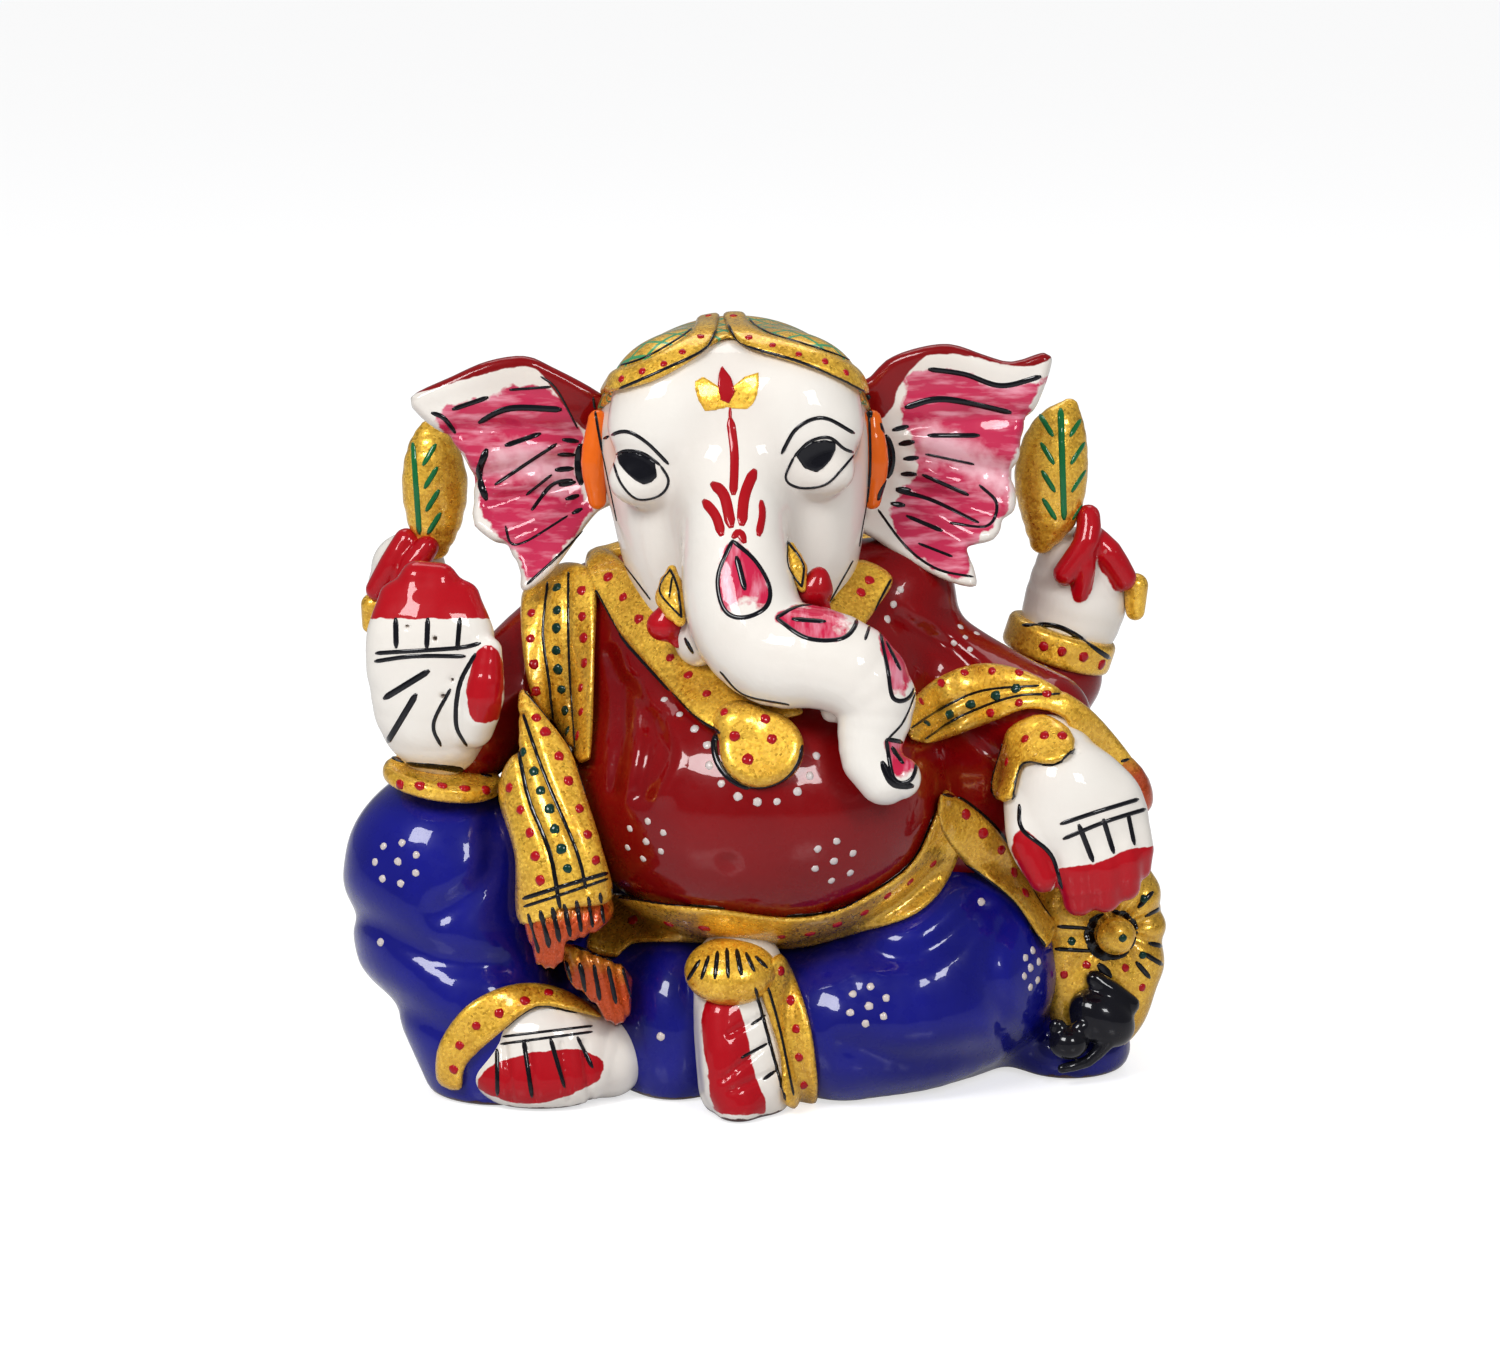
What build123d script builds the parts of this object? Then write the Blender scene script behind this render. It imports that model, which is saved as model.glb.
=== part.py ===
"""A small seated Ganesha idol, cast and hand painted, as its separate modelled pieces.

Millimetres. +Z is up, +X is the viewer's right and -Y is the front. The origin is the
middle of the footprint, on the face the idol rests on. "Left" and "right" are the viewer's.
Each piece is cut back by the pieces made before it, so that neighbours meet face to face.
"""

import os
from math import cos, radians, sin

from build123d import *

os.makedirs("parts", exist_ok=True)

# driving dimensions
HEAD_X = -2.0  # the head sits a little left of the middle
HEAD_HALF_WIDTH = 13.7
HEAD_HALF_DEPTH = 13.2
HEAD_TOP = 75.6
CHIN = 43.2
BELLY_HALF_WIDTH = 19.0
BELLY_FRONT = 19.0  # half depth of the belly
BELLY_Y = -4.5
SHOULDER_HALF_WIDTH = 20.0
SHOULDER_TOP = 53.5
HIP_HALF_WIDTH = 31.0
HIP_TOP = 21.0
TRIM = 1.3  # how far the collar, cap and bands stand out
EAR_THICKNESS = 3.2
SLEEVE_RADIUS = 5.6
BACK_Y = 12.0  # plane of the two back arms
BOLSTER_HALF_HEIGHT = 12.6
BOLSTER_HALF_WIDTH = 7.2
REACH = 60.0  # longer than anything it has to cut through
CAP_ANGLES = (30, 55, 75)

made = []


def ring(point, ahead, side, wide, thick):
    """An elliptical section at point, square to ahead, with its wide axis along side."""
    with BuildSketch(Plane(origin=point, x_dir=side, z_dir=ahead)) as section:
        Ellipse(wide, thick)
    return section.sketch.face()


def limb(stations, side=(1, 0, 0)):
    """Sections of a rounded limb through stations of (point, wide, thick)."""
    points = [Vector(*station[0]) for station in stations]
    last = len(points) - 1

    def heading(i):
        return (points[min(i + 1, last)] - points[max(i - 1, 0)]).normalized()

    def across(ahead):
        lean = Vector(*side)
        return (lean - ahead * lean.dot(ahead)).normalized()

    rows = []
    for end, sign, angles in ((0, -1, reversed(CAP_ANGLES)), (last, 1, CAP_ANGLES)):
        ahead = heading(end)
        wide, thick = stations[end][1:]
        for angle in angles:
            out = points[end] + ahead * sign * min(wide, thick) * sin(radians(angle))
            shrink = cos(radians(angle))
            rows.append((out, ahead, wide * shrink, thick * shrink))
        if end == 0:
            rows += [(points[i], heading(i), *stations[i][1:]) for i in range(last + 1)]
    return [ring(point, ahead, across(ahead), wide, thick) for point, ahead, wide, thick in rows]


def stack(levels, extra=0.0):
    """Level elliptical sections from rows of (height, x, y, half width, half depth)."""
    sections = []
    for height, x, y, half_width, half_depth in levels:
        with BuildSketch(Plane.XY.offset(height)) as section:
            with Locations((x, y)):
                Ellipse(half_width + extra, half_depth + extra)
        sections.append(section.sketch.face())
    return sections


def egg(centre, radii):
    """An ellipsoid."""
    with BuildPart() as ball:
        Sphere(1)
    return scale(ball.part, by=radii, mode=Mode.PRIVATE).moved(Location(centre))


def slab(outline, near, far, smooth=False):
    """A front-view outline of (x, z) points, made solid between two depths."""
    with BuildPart() as block:
        with BuildSketch(Plane.XZ.offset(-far)):
            with BuildLine():
                if smooth:
                    Spline(*outline, periodic=True)
                else:
                    Polyline(*outline, close=True)
            make_face()
        extrude(amount=far - near)
    return block.part


def carve():
    """Cuts the piece being built back by those made before it, and keeps the main solid."""
    box = BuildPart._get_context().part.bounding_box()
    for piece in made:
        other = piece.bounding_box()
        apart = (
            other.min.X > box.max.X
            or other.max.X < box.min.X
            or other.min.Y > box.max.Y
            or other.max.Y < box.min.Y
            or other.min.Z > box.max.Z
            or other.max.Z < box.min.Z
        )
        if not apart:
            add(piece, mode=Mode.SUBTRACT)
    for crumb in solids().sort_by(SortBy.VOLUME)[:-1]:
        add(crumb, mode=Mode.SUBTRACT)


def rest_flat():
    """Trims the piece being built to the level face the idol rests on."""
    split(bisect_by=Plane.XY, keep=Keep.TOP)


def finish(piece, name):
    """Names the piece, writes it out and lets later pieces be cut back by it."""
    piece.label = name
    export_step(piece, f"parts/{name}.step")
    made.append(piece)


# ---------------------------------------------------------------- head and body
HEAD_LEVELS = [
    (CHIN, HEAD_X, -1.0, 3.0, 3.0),
    (44.0, HEAD_X, -1.2, 5.5, 5.5),
    (47.0, HEAD_X, -2.2, 9.4, 9.0),
    (52.0, HEAD_X, -2.0, 12.2, 11.8),
    (58.0, HEAD_X, -1.0, HEAD_HALF_WIDTH - 0.3, HEAD_HALF_DEPTH),
    (64.0, HEAD_X, 0.2, HEAD_HALF_WIDTH, HEAD_HALF_DEPTH),
    (70.0, HEAD_X, 2.0, 11.6, 11.4),
    (74.0, HEAD_X, 3.0, 7.0, 7.0),
    (HEAD_TOP, HEAD_X, 3.4, 2.5, 2.5),
]
with BuildPart() as head:
    loft(sections=stack(HEAD_LEVELS))
finish(head.part, "head")

TORSO_LEVELS = [
    (8.0, 0.0, 0.0, 12.0, 10.0),
    (12.0, 0.0, -2.0, 16.5, 14.0),
    (20.0, 0.0, -4.0, BELLY_HALF_WIDTH - 0.5, BELLY_FRONT - 2.0),
    (27.0, 0.5, BELLY_Y, BELLY_HALF_WIDTH, BELLY_FRONT),
    (34.0, 0.5, -3.0, BELLY_HALF_WIDTH - 0.5, BELLY_FRONT - 1.5),
    (40.0, 0.0, -0.5, BELLY_HALF_WIDTH, 14.5),
    (45.0, 0.0, 2.0, SHOULDER_HALF_WIDTH, 12.0),
    (49.0, 0.0, 4.0, 16.0, 9.0),
    (52.0, 0.0, 4.5, 9.0, 6.5),
    (SHOULDER_TOP, 0.0, 4.5, 5.0, 4.0),
]
with BuildPart() as torso:
    loft(sections=stack(TORSO_LEVELS))
    carve()
finish(torso.part, "torso")

TRUNK_ROUTE = [
    ((-2.0, -7.5, 60.0), 6.6, 6.2),
    ((-2.0, -14.4, 54.0), 5.7, 5.6),
    ((-1.0, -17.5, 48.5), 5.2, 5.2),
    ((2.0, -19.5, 45.6), 5.0, 5.0),
    ((6.0, -21.0, 45.0), 4.7, 4.7),
    ((10.0, -22.0, 43.6), 4.2, 4.2),
    ((11.6, -22.5, 40.6), 3.5, 3.5),
    ((11.2, -22.8, 37.3), 3.0, 3.0),
    ((12.2, -23.0, 35.0), 2.9, 2.9),
    ((14.0, -23.0, 34.4), 2.4, 2.4),
]
with BuildPart() as trunk:
    loft(sections=limb(TRUNK_ROUTE, side=(0, 1, 0)))
    carve()
finish(trunk.part, "trunk")

with BuildPart() as lower_lip:
    add(egg((-5.2, -12.6, 46.6), (3.2, 4.0, 3.4)))
    carve()
finish(lower_lip.part, "lower_lip")

# the two tusks, each with a red bead at its tip
TUSKS = {
    "left": ((-7.0, -10.5, 52.6), (-8.4, -15.2, 49.4), (-8.9, -15.6, 48.0)),
    "right": ((3.0, -11.0, 55.5), (4.4, -15.6, 52.4), (5.9, -15.6, 50.8)),
}
for side_name, (root, tip, bead_centre) in TUSKS.items():
    with BuildPart() as tusk:
        loft(sections=limb([(root, 1.9, 1.6), (tip, 1.1, 1.0)]))
        carve()
    finish(tusk.part, f"tusk_{side_name}")
    with BuildPart() as bead:
        add(egg(bead_centre, (1.5, 1.4, 1.6)))
        carve()
    finish(bead.part, f"tusk_bead_{side_name}")

# ---------------------------------------------------------------- collar and pendant
COLLAR_OUTLINE = [
    (-18.0, 54.0),
    (-16.2, 52.0),
    (-12.0, 46.0),
    (-8.6, 41.0),
    (-3.0, 36.4),
    (3.5, 36.4),
    (9.0, 42.5),
    (14.5, 51.0),
    (16.0, 54.0),
    (11.0, 56.0),
    (-13.0, 56.0),
]
COLLAR_OPENING = [
    (-14.0, 57.0),
    (-12.6, 50.5),
    (-9.0, 46.0),
    (-5.0, 42.4),
    (-1.0, 40.8),
    (2.5, 40.8),
    (6.5, 45.0),
    (10.5, 50.5),
    (12.0, 57.0),
]
with BuildPart() as collar:
    loft(sections=stack(TORSO_LEVELS, TRIM))
    add(slab(COLLAR_OUTLINE, -REACH, REACH / 2), mode=Mode.INTERSECT)
    add(slab(COLLAR_OPENING, -REACH, 0), mode=Mode.SUBTRACT)
    carve()
finish(collar.part, "collar")

with BuildPart() as pendant:
    with BuildSketch(Plane(origin=(0.9, -17.4, 37.2), x_dir=(1, 0, 0), z_dir=(0, -0.86, 0.5))):
        Circle(3.9)
    extrude(amount=4.6)
    fillet(edges().group_by(Axis.Y)[0], radius=1.0)
    carve()
finish(pendant.part, "pendant")

# ---------------------------------------------------------------- seat, legs and feet
HIP_LEVELS = [
    (0.0, 0.0, 5.5, HIP_HALF_WIDTH - 1.0, 19.5),
    (3.0, 0.0, 6.0, HIP_HALF_WIDTH, 20.0),
    (9.0, 0.0, 6.0, HIP_HALF_WIDTH, 19.6),
    (15.0, 0.0, 6.0, HIP_HALF_WIDTH - 5.0, 17.5),
    (19.0, 0.0, 5.5, HIP_HALF_WIDTH - 12.0, 13.5),
    (HIP_TOP, 0.0, 5.0, 9.0, 8.0),
]
with BuildPart() as seat:
    loft(sections=stack(HIP_LEVELS))
    carve()
finish(seat.part, "seat")

with BuildPart() as knee_left:
    add(egg((-30.6, -0.5, 18.2), (10.2, 12.5, 12.0)))
    loft(sections=limb([((-30.0, -5.0, 15.0), 9.6, 9.0), ((-25.5, -9.0, 5.0), 8.8, 8.0)]))
    loft(sections=limb([((-29.0, 2.0, 14.0), 9.6, 10.0), ((-14.0, 7.0, 9.0), 9.0, 9.0)]))
    rest_flat()
    carve()
finish(knee_left.part, "leg_left")

with BuildPart() as knee_right:
    loft(sections=limb([((22.0, -4.0, 11.0), 10.5, 11.4), ((9.0, -10.0, 7.4), 8.2, 8.4)], side=(0, 1, 0)))
    loft(sections=limb([((22.5, -2.5, 10.5), 10.0, 11.0), ((14.0, 7.0, 10.0), 9.0, 9.0)], side=(0, 1, 0)))
    rest_flat()
    carve()
finish(knee_right.part, "leg_right")

with BuildPart() as foot_left:
    loft(sections=limb([((-26.0, -11.0, 5.4), 5.0, 5.2), ((-15.6, -12.0, 4.6), 4.4, 4.6)], side=(0, 1, 0)))
    add(egg((-20.8, -14.8, 4.2), (6.4, 3.0, 3.6)))
    rest_flat()
    carve()
finish(foot_left.part, "foot_left")

with BuildPart() as foot_right:
    loft(sections=limb([((-1.6, -15.0, 13.6), 4.2, 4.0), ((-1.2, -16.4, 3.0), 4.8, 4.6)]))
    rest_flat()
    carve()
finish(foot_right.part, "foot_right")

with BuildPart() as dhoti_front:
    add(egg((-8.0, -8.0, 7.0), (6.5, 8.0, 10.5)))
    rest_flat()
    carve()
finish(dhoti_front.part, "dhoti_front")

# ---------------------------------------------------------------- front arms
with BuildPart() as sleeve_left:
    loft(
        sections=limb(
            [
                ((-16.5, 4.0, 45.0), 6.4, 6.2),
                ((-23.5, 3.0, 41.0), SLEEVE_RADIUS, SLEEVE_RADIUS),
                ((-29.5, -4.5, 34.0), SLEEVE_RADIUS, 4.8),
            ]
        )
    )
    carve()
finish(sleeve_left.part, "sleeve_front_left")

with BuildPart() as sleeve_right:
    loft(
        sections=limb(
            [
                ((16.5, 4.0, 45.0), 6.4, 6.2),
                ((25.0, 1.5, 41.0), SLEEVE_RADIUS, SLEEVE_RADIUS),
                ((29.0, -5.0, 37.0), 4.8, 4.6),
            ]
        )
    )
    carve()
finish(sleeve_right.part, "sleeve_front_right")

with BuildPart() as cuff_left:
    with BuildSketch(Plane(origin=(-30.0, -8.0, 31.0), z_dir=(0, -0.15, 1))):
        Ellipse(7.2, 5.6)
    extrude(amount=3.0)
    fillet(edges(), radius=1.0)
    carve()
finish(cuff_left.part, "cuff_front_left")

with BuildPart() as cuff_right:
    with BuildSketch(Plane(origin=(29.0, -5.5, 37.2), z_dir=(0.2, -0.75, -0.5))):
        Ellipse(5.2, 4.8)
    extrude(amount=3.2)
    fillet(edges(), radius=0.8)
    carve()
finish(cuff_right.part, "cuff_front_right")

with BuildPart() as palm_left:
    loft(
        sections=limb(
            [
                ((-31.2, -8.8, 36.4), 5.4, 3.2),
                ((-31.2, -9.4, 43.0), 6.3, 3.2),
                ((-31.2, -8.4, 50.4), 5.0, 2.6),
            ]
        )
    )
    loft(sections=limb([((-26.8, -10.6, 38.6), 1.8, 1.9), ((-25.7, -10.8, 43.8), 1.5, 1.6)]))
    carve()
finish(palm_left.part, "hand_front_left")

with BuildPart() as palm_right:
    loft(
        sections=limb(
            [
                ((30.4, -9.8, 33.2), 4.2, 3.0),
                ((32.4, -12.6, 29.6), 6.2, 3.6),
                ((34.0, -14.4, 25.0), 6.0, 3.2),
                ((34.8, -15.2, 21.4), 4.8, 2.6),
            ]
        )
    )
    carve()
finish(palm_right.part, "hand_front_right")

# ---------------------------------------------------------------- shawl and its fringes
UPPER_SHAWL_OUTLINE = [
    (-22.4, 46.0),
    (-21.4, 51.0),
    (-15.4, 50.6),
    (-15.6, 43.0),
    (-15.8, 33.0),
    (-20.2, 33.0),
    (-22.6, 39.0),
]
with BuildPart() as shawl_upper:
    loft(sections=stack(TORSO_LEVELS, TRIM + 0.9))
    loft(sections=limb([((-16.5, 4.0, 45.0), 8.0, 7.8), ((-20.5, 3.4, 42.8), 7.6, 7.4)]))
    add(slab(UPPER_SHAWL_OUTLINE, -REACH, 6.0), mode=Mode.INTERSECT)
    carve()
finish(shawl_upper.part, "shawl_left_upper")

with BuildPart() as shawl_lower:
    loft(
        sections=limb(
            [
                ((-21.6, -7.4, 40.0), 1.6, 1.2),
                ((-20.4, -12.0, 34.6), 3.6, 1.4),
                ((-18.6, -15.6, 28.6), 4.3, 1.5),
                ((-17.6, -17.2, 23.6), 4.6, 1.6),
            ]
        )
    )
    carve()
finish(shawl_lower.part, "shawl_left_lower")

with BuildPart() as fringe_upper:
    loft(sections=limb([((-17.8, -17.6, 21.0), 4.5, 1.5), ((-18.8, -17.4, 17.6), 3.2, 1.3)]))
    carve()
finish(fringe_upper.part, "fringe_left_upper")

with BuildPart() as fringe_lower:
    loft(sections=limb([((-15.6, -15.6, 15.4), 3.3, 1.5), ((-13.2, -15.8, 10.6), 1.9, 1.2)]))
    carve()
finish(fringe_lower.part, "fringe_left_lower")

with BuildPart() as shawl_right:
    loft(
        sections=limb(
            [
                ((14.6, -12.4, 37.4), 3.4, 1.6),
                ((20.0, -9.6, 40.4), 3.6, 1.6),
                ((26.0, -6.2, 42.2), 3.6, 1.5),
                ((32.0, -3.4, 39.6), 3.2, 1.4),
                ((36.4, -3.4, 35.4), 2.8, 1.4),
                ((38.0, -5.0, 32.0), 2.4, 1.3),
            ],
            side=(0, -0.6, -0.8),
        )
    )
    carve()
finish(shawl_right.part, "shawl_right")

with BuildPart() as fringe_right:
    loft(sections=limb([((38.0, -6.4, 31.0), 2.2, 1.2), ((37.8, -8.4, 28.0), 1.7, 1.0)], side=(0, 1, 0)))
    carve()
finish(fringe_right.part, "fringe_right")

# ---------------------------------------------------------------- waistband, hems and tuft
WAISTBAND_OUTLINE = [
    (-18.0, 23.4),
    (-13.0, 22.2),
    (-7.2, 20.6),
    (0.0, 19.9),
    (7.2, 21.2),
    (13.0, 24.2),
    (16.6, 28.8),
    (17.4, 33.0),
    (20.0, 30.0),
    (19.4, 25.4),
    (15.0, 20.8),
    (9.0, 18.0),
    (2.4, 16.6),
    (-5.3, 16.8),
    (-11.0, 18.4),
    (-18.0, 20.0),
]
with BuildPart() as waistband:
    loft(sections=stack(TORSO_LEVELS, TRIM + 0.6))
    add(slab(WAISTBAND_OUTLINE, -REACH, -2.0), mode=Mode.INTERSECT)
    carve()
finish(waistband.part, "waistband")

with BuildPart() as hem_knee:
    loft(
        sections=limb(
            [
                ((19.0, -10.5, 27.0), 3.2, 2.6),
                ((23.6, -8.6, 22.0), 3.4, 2.8),
                ((28.0, -7.4, 16.4), 2.6, 2.4),
            ]
        )
    )
    carve()
finish(hem_knee.part, "hem_knee_right")

with BuildPart() as hem_ankle_right:
    with BuildSketch(Plane(origin=(3.0, -10.5, 7.0), x_dir=(0, 1, 0), z_dir=(1, -0.2, 0))):
        Ellipse(9.2, 9.8)
    extrude(amount=2.8)
    fillet(edges(), radius=0.8)
    rest_flat()
    carve()
finish(hem_ankle_right.part, "hem_ankle_right")

with BuildPart() as hem_ankle_left:
    with BuildSketch(Plane(origin=(-22.4, -10.4, 4.6), x_dir=(1, 0, 0), z_dir=(0, -0.9, 0.2))):
        Ellipse(9.4, 8.4)
    extrude(amount=3.0)
    fillet(edges(), radius=0.8)
    rest_flat()
    carve()
finish(hem_ankle_left.part, "hem_ankle_left")

with BuildPart() as tuft:
    add(egg((-2.0, -16.8, 16.0), (3.7, 3.8, 2.8)))
    carve()
finish(tuft.part, "foot_tuft")

# ---------------------------------------------------------------- cap
CAP_BAND_OUTLINE = [
    (-16.6, 68.4),
    (-11.1, 71.0),
    (-6.6, 73.2),
    (HEAD_X - 0.6, 75.4),
    (1.9, 73.2),
    (6.4, 71.6),
    (12.4, 69.2),
    (13.0, 72.0),
    (5.0, 74.4),
    (0.0, 80.0),
    (-4.4, 80.0),
    (-9.2, 74.8),
    (-16.6, 71.6),
]
with BuildPart() as cap_band:
    loft(sections=stack(HEAD_LEVELS, TRIM))
    add(slab(CAP_BAND_OUTLINE, -REACH, 4.0), mode=Mode.INTERSECT)
    split(bisect_by=Plane.XY.offset(HEAD_TOP + 0.4), keep=Keep.BOTTOM)
    carve()
finish(cap_band.part, "cap_band")

CAP_OUTLINE = [
    (-16.6, 66.0),
    (-16.6, 80.0),
    (12.6, 80.0),
    (12.6, 66.0),
]
with BuildPart() as cap:
    loft(sections=stack(HEAD_LEVELS, TRIM - 0.4))
    add(slab(CAP_OUTLINE, -1.0, REACH), mode=Mode.INTERSECT)
    carve()
finish(cap.part, "cap")

# ---------------------------------------------------------------- ears
EAR_LEFT_OUTLINE = [
    (-12.0, 66.8),
    (-16.8, 69.8),
    (-21.0, 70.9),
    (-27.2, 69.6),
    (-33.7, 67.6),
    (-31.0, 63.4),
    (-27.8, 58.5),
    (-27.0, 54.5),
    (-24.9, 50.5),
    (-23.4, 47.4),
    (-18.4, 51.4),
    (-12.0, 54.0),
]
EAR_RIGHT_OUTLINE = [
    (8.0, 67.2),
    (12.6, 70.2),
    (16.2, 71.7),
    (20.6, 71.6),
    (25.2, 71.0),
    (28.9, 71.6),
    (28.0, 67.4),
    (25.8, 63.4),
    (25.2, 57.5),
    (24.2, 54.0),
    (22.2, 51.2),
    (21.4, 48.4),
    (16.8, 50.4),
    (8.0, 53.6),
]
for side_name, outline in (("left", EAR_LEFT_OUTLINE), ("right", EAR_RIGHT_OUTLINE)):
    with BuildPart() as ear:
        add(slab(outline, 2.6, 2.6 + EAR_THICKNESS))
        fillet(edges().filter_by(GeomType.LINE).group_by(Axis.Y)[0], radius=0.9)
        carve()
    finish(ear.part, f"ear_{side_name}")

for side_name, x in (("left", HEAD_X - 13.6), ("right", HEAD_X + 13.9)):
    with BuildPart() as ribbon:
        with Locations((x, 1.4, 60.6)):
            Box(1.8, 3.0, 8.4)
        fillet(edges().filter_by(Axis.Z), radius=0.7)
        carve()
    finish(ribbon.part, f"ear_ribbon_{side_name}")

# ---------------------------------------------------------------- back arms, with lotus buds
BACK_ARMS = {
    "left": {
        "arm": [
            (-15.0, 9.0, 44.0),
            (-22.5, BACK_Y - 1, 37.5),
            (-28.5, BACK_Y, 34.8),
            (-32.4, BACK_Y + 1, 37.4),
            (-34.2, BACK_Y + 1, 41.0),
        ],
        "cuff": ((-33.4, BACK_Y + 1, 38.8), (-0.45, 0.0, 0.9)),
        "hand": [(-35.4, BACK_Y + 1, 42.4), (-36.4, BACK_Y + 1, 46.4), (-35.4, BACK_Y + 1, 50.6)],
        "bud": (-33.6, 49.2, 7),  # foot (x, z) and its lean in degrees
        "stem": ((-36.0, BACK_Y - 1.6, 48.6), (-39.2, BACK_Y - 1.0, 43.6)),
    },
    "right": {
        "arm": [
            (15.0, 9.0, 44.0),
            (21.5, BACK_Y - 1, 37.5),
            (26.8, BACK_Y, 34.8),
            (30.2, BACK_Y + 1, 37.2),
            (31.8, BACK_Y + 1, 41.0),
        ],
        "cuff": ((31.0, BACK_Y + 1, 38.8), (0.45, 0.0, 0.9)),
        "hand": [(32.4, BACK_Y + 1, 42.4), (33.6, BACK_Y + 1, 46.8), (34.0, BACK_Y + 1, 51.2)],
        "bud": (29.8, 50.0, 5),
        "stem": ((34.4, BACK_Y - 1.6, 49.4), (37.4, BACK_Y - 1.0, 44.2)),
    },
}
BUD_LENGTH = 15.6
CUFF_LENGTH = 2.6
GRIP_TOP = 51.4  # the fingers end here and the bud shows above
for side_name, places in BACK_ARMS.items():
    cuff_base, cuff_axis = places["cuff"]
    wrist = Plane(origin=cuff_base, z_dir=cuff_axis)
    with BuildPart() as back_sleeve:
        radii = [(6.4, 6.0), (6.0, 5.6), (5.5, 5.2), (4.8, 4.6), (4.4, 4.2)]
        loft(sections=limb([(point, *size) for point, size in zip(places["arm"], radii)]))
        split(bisect_by=wrist, keep=Keep.BOTTOM)
        carve()
    finish(back_sleeve.part, f"sleeve_back_{side_name}")

    with BuildPart() as back_cuff:
        with BuildSketch(wrist):
            Ellipse(5.4, 5.0)
        extrude(amount=CUFF_LENGTH)
        fillet(edges().group_by(SortBy.LENGTH)[-1], radius=0.8)
    finish(back_cuff.part, f"cuff_back_{side_name}")

    with BuildPart() as back_hand:
        radii = [(3.6, 3.0), (4.4, 3.2), (3.4, 2.6)]
        loft(sections=limb([(point, *size) for point, size in zip(places["hand"], radii)]))
        split(bisect_by=wrist.offset(CUFF_LENGTH), keep=Keep.TOP)
        split(bisect_by=Plane.XY.offset(GRIP_TOP), keep=Keep.BOTTOM)
    finish(back_hand.part, f"hand_back_{side_name}")

    foot_x, foot_z, lean = places["bud"]
    foot = (foot_x, BACK_Y - 1.0, foot_z)
    up = (sin(radians(lean)), 0, cos(radians(lean)))
    with BuildPart() as bud:
        with BuildSketch(Plane(origin=foot, x_dir=(up[2], 0, -up[0]), z_dir=(0, -1, 0))):
            with BuildLine():
                Bezier((0, 0), (5.2, 1.6), (4.6, 10.0), (0, BUD_LENGTH))
                Line((0, 0), (0, BUD_LENGTH))
            make_face()
        revolve(axis=Axis(foot, up))
        split(bisect_by=Plane.XY.offset(GRIP_TOP), keep=Keep.TOP)
    finish(bud.part, f"lotus_bud_{side_name}")

    with BuildPart() as stem:
        loft(sections=limb([(point, 1.5, 1.5) for point in places["stem"]]))
        carve()
    finish(stem.part, f"lotus_stem_{side_name}")

# ---------------------------------------------------------------- bolster and mouse
BOLSTER_FACE = Plane(origin=(34.6, -6.0, 12.2), x_dir=(1, 0.3, 0), z_dir=(0.3, -1, 0))
with BuildPart() as bolster:
    with BuildSketch(BOLSTER_FACE):
        Ellipse(BOLSTER_HALF_WIDTH, BOLSTER_HALF_HEIGHT)
    extrude(amount=-26.0)
    fillet(edges(), radius=2.4)
    rest_flat()
    carve()
finish(bolster.part, "bolster")

with BuildPart() as button:
    add(egg((35.4, -6.6, 15.0), (2.0, 1.9, 2.0)))
    carve()
finish(button.part, "bolster_button")

with BuildPart() as mouse:
    loft(sections=limb([((33.0, -8.6, 5.2), 3.0, 3.0), ((36.4, -7.4, 4.4), 2.6, 2.8)], side=(0, 1, 0)))
    rest_flat()
    carve()
finish(mouse.part, "mouse")
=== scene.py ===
"""Looks of the seated Ganesha idol: sculpted, enamelled and lined round its CAD frame.

The sculpting is done with distance fields in millimetres. A Form is a field with a box: it is
built from eggs, limbs and drums, joined and cut softly, then turned into a mesh. Paint is laid
by casting brush paths onto the finished meshes. +X is the viewer's right and -Y the front.
"""

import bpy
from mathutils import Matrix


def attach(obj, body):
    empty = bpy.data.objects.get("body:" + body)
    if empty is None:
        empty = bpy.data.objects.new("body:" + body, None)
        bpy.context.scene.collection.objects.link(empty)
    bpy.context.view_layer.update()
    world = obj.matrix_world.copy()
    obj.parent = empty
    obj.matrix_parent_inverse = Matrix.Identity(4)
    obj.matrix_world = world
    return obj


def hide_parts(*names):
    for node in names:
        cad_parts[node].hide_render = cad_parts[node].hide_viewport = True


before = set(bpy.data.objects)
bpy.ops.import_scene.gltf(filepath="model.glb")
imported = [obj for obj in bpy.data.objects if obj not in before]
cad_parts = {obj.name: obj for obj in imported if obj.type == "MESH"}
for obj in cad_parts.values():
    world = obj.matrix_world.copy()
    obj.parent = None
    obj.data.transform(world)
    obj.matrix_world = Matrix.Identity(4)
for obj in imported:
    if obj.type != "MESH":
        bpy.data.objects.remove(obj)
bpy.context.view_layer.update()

from concurrent.futures import ThreadPoolExecutor
from math import cos, pi, radians, sin

import bpy
import numpy as np
import openvdb
from mathutils import Matrix, Vector
from mathutils.bvhtree import BVHTree

MM = 0.001
FINE = 0.26  # voxel of hands, feet and trimmings, in millimetres
COARSE = 0.4  # voxel of the large forms
BLOCK = 8  # voxels along the side of a block that is sampled together
EYE_HEIGHT = radians(12)  # the viewer looks down by this much
LOOK = Vector((0, cos(EYE_HEIGHT), -sin(EYE_HEIGHT)))
CENTRE = Vector((-0.5, 4.0, 38.9))
EYE = CENTRE - LOOK * 480  # where the viewer's eye is
SHEET_Y = -12.0  # outlines and brush paths are (x, z) on an upright sheet here, seen from EYE
NEAREST = -60.0  # nothing of the idol lies nearer to the viewer than this

# ---------------------------------------------------------------- distance fields


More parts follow.
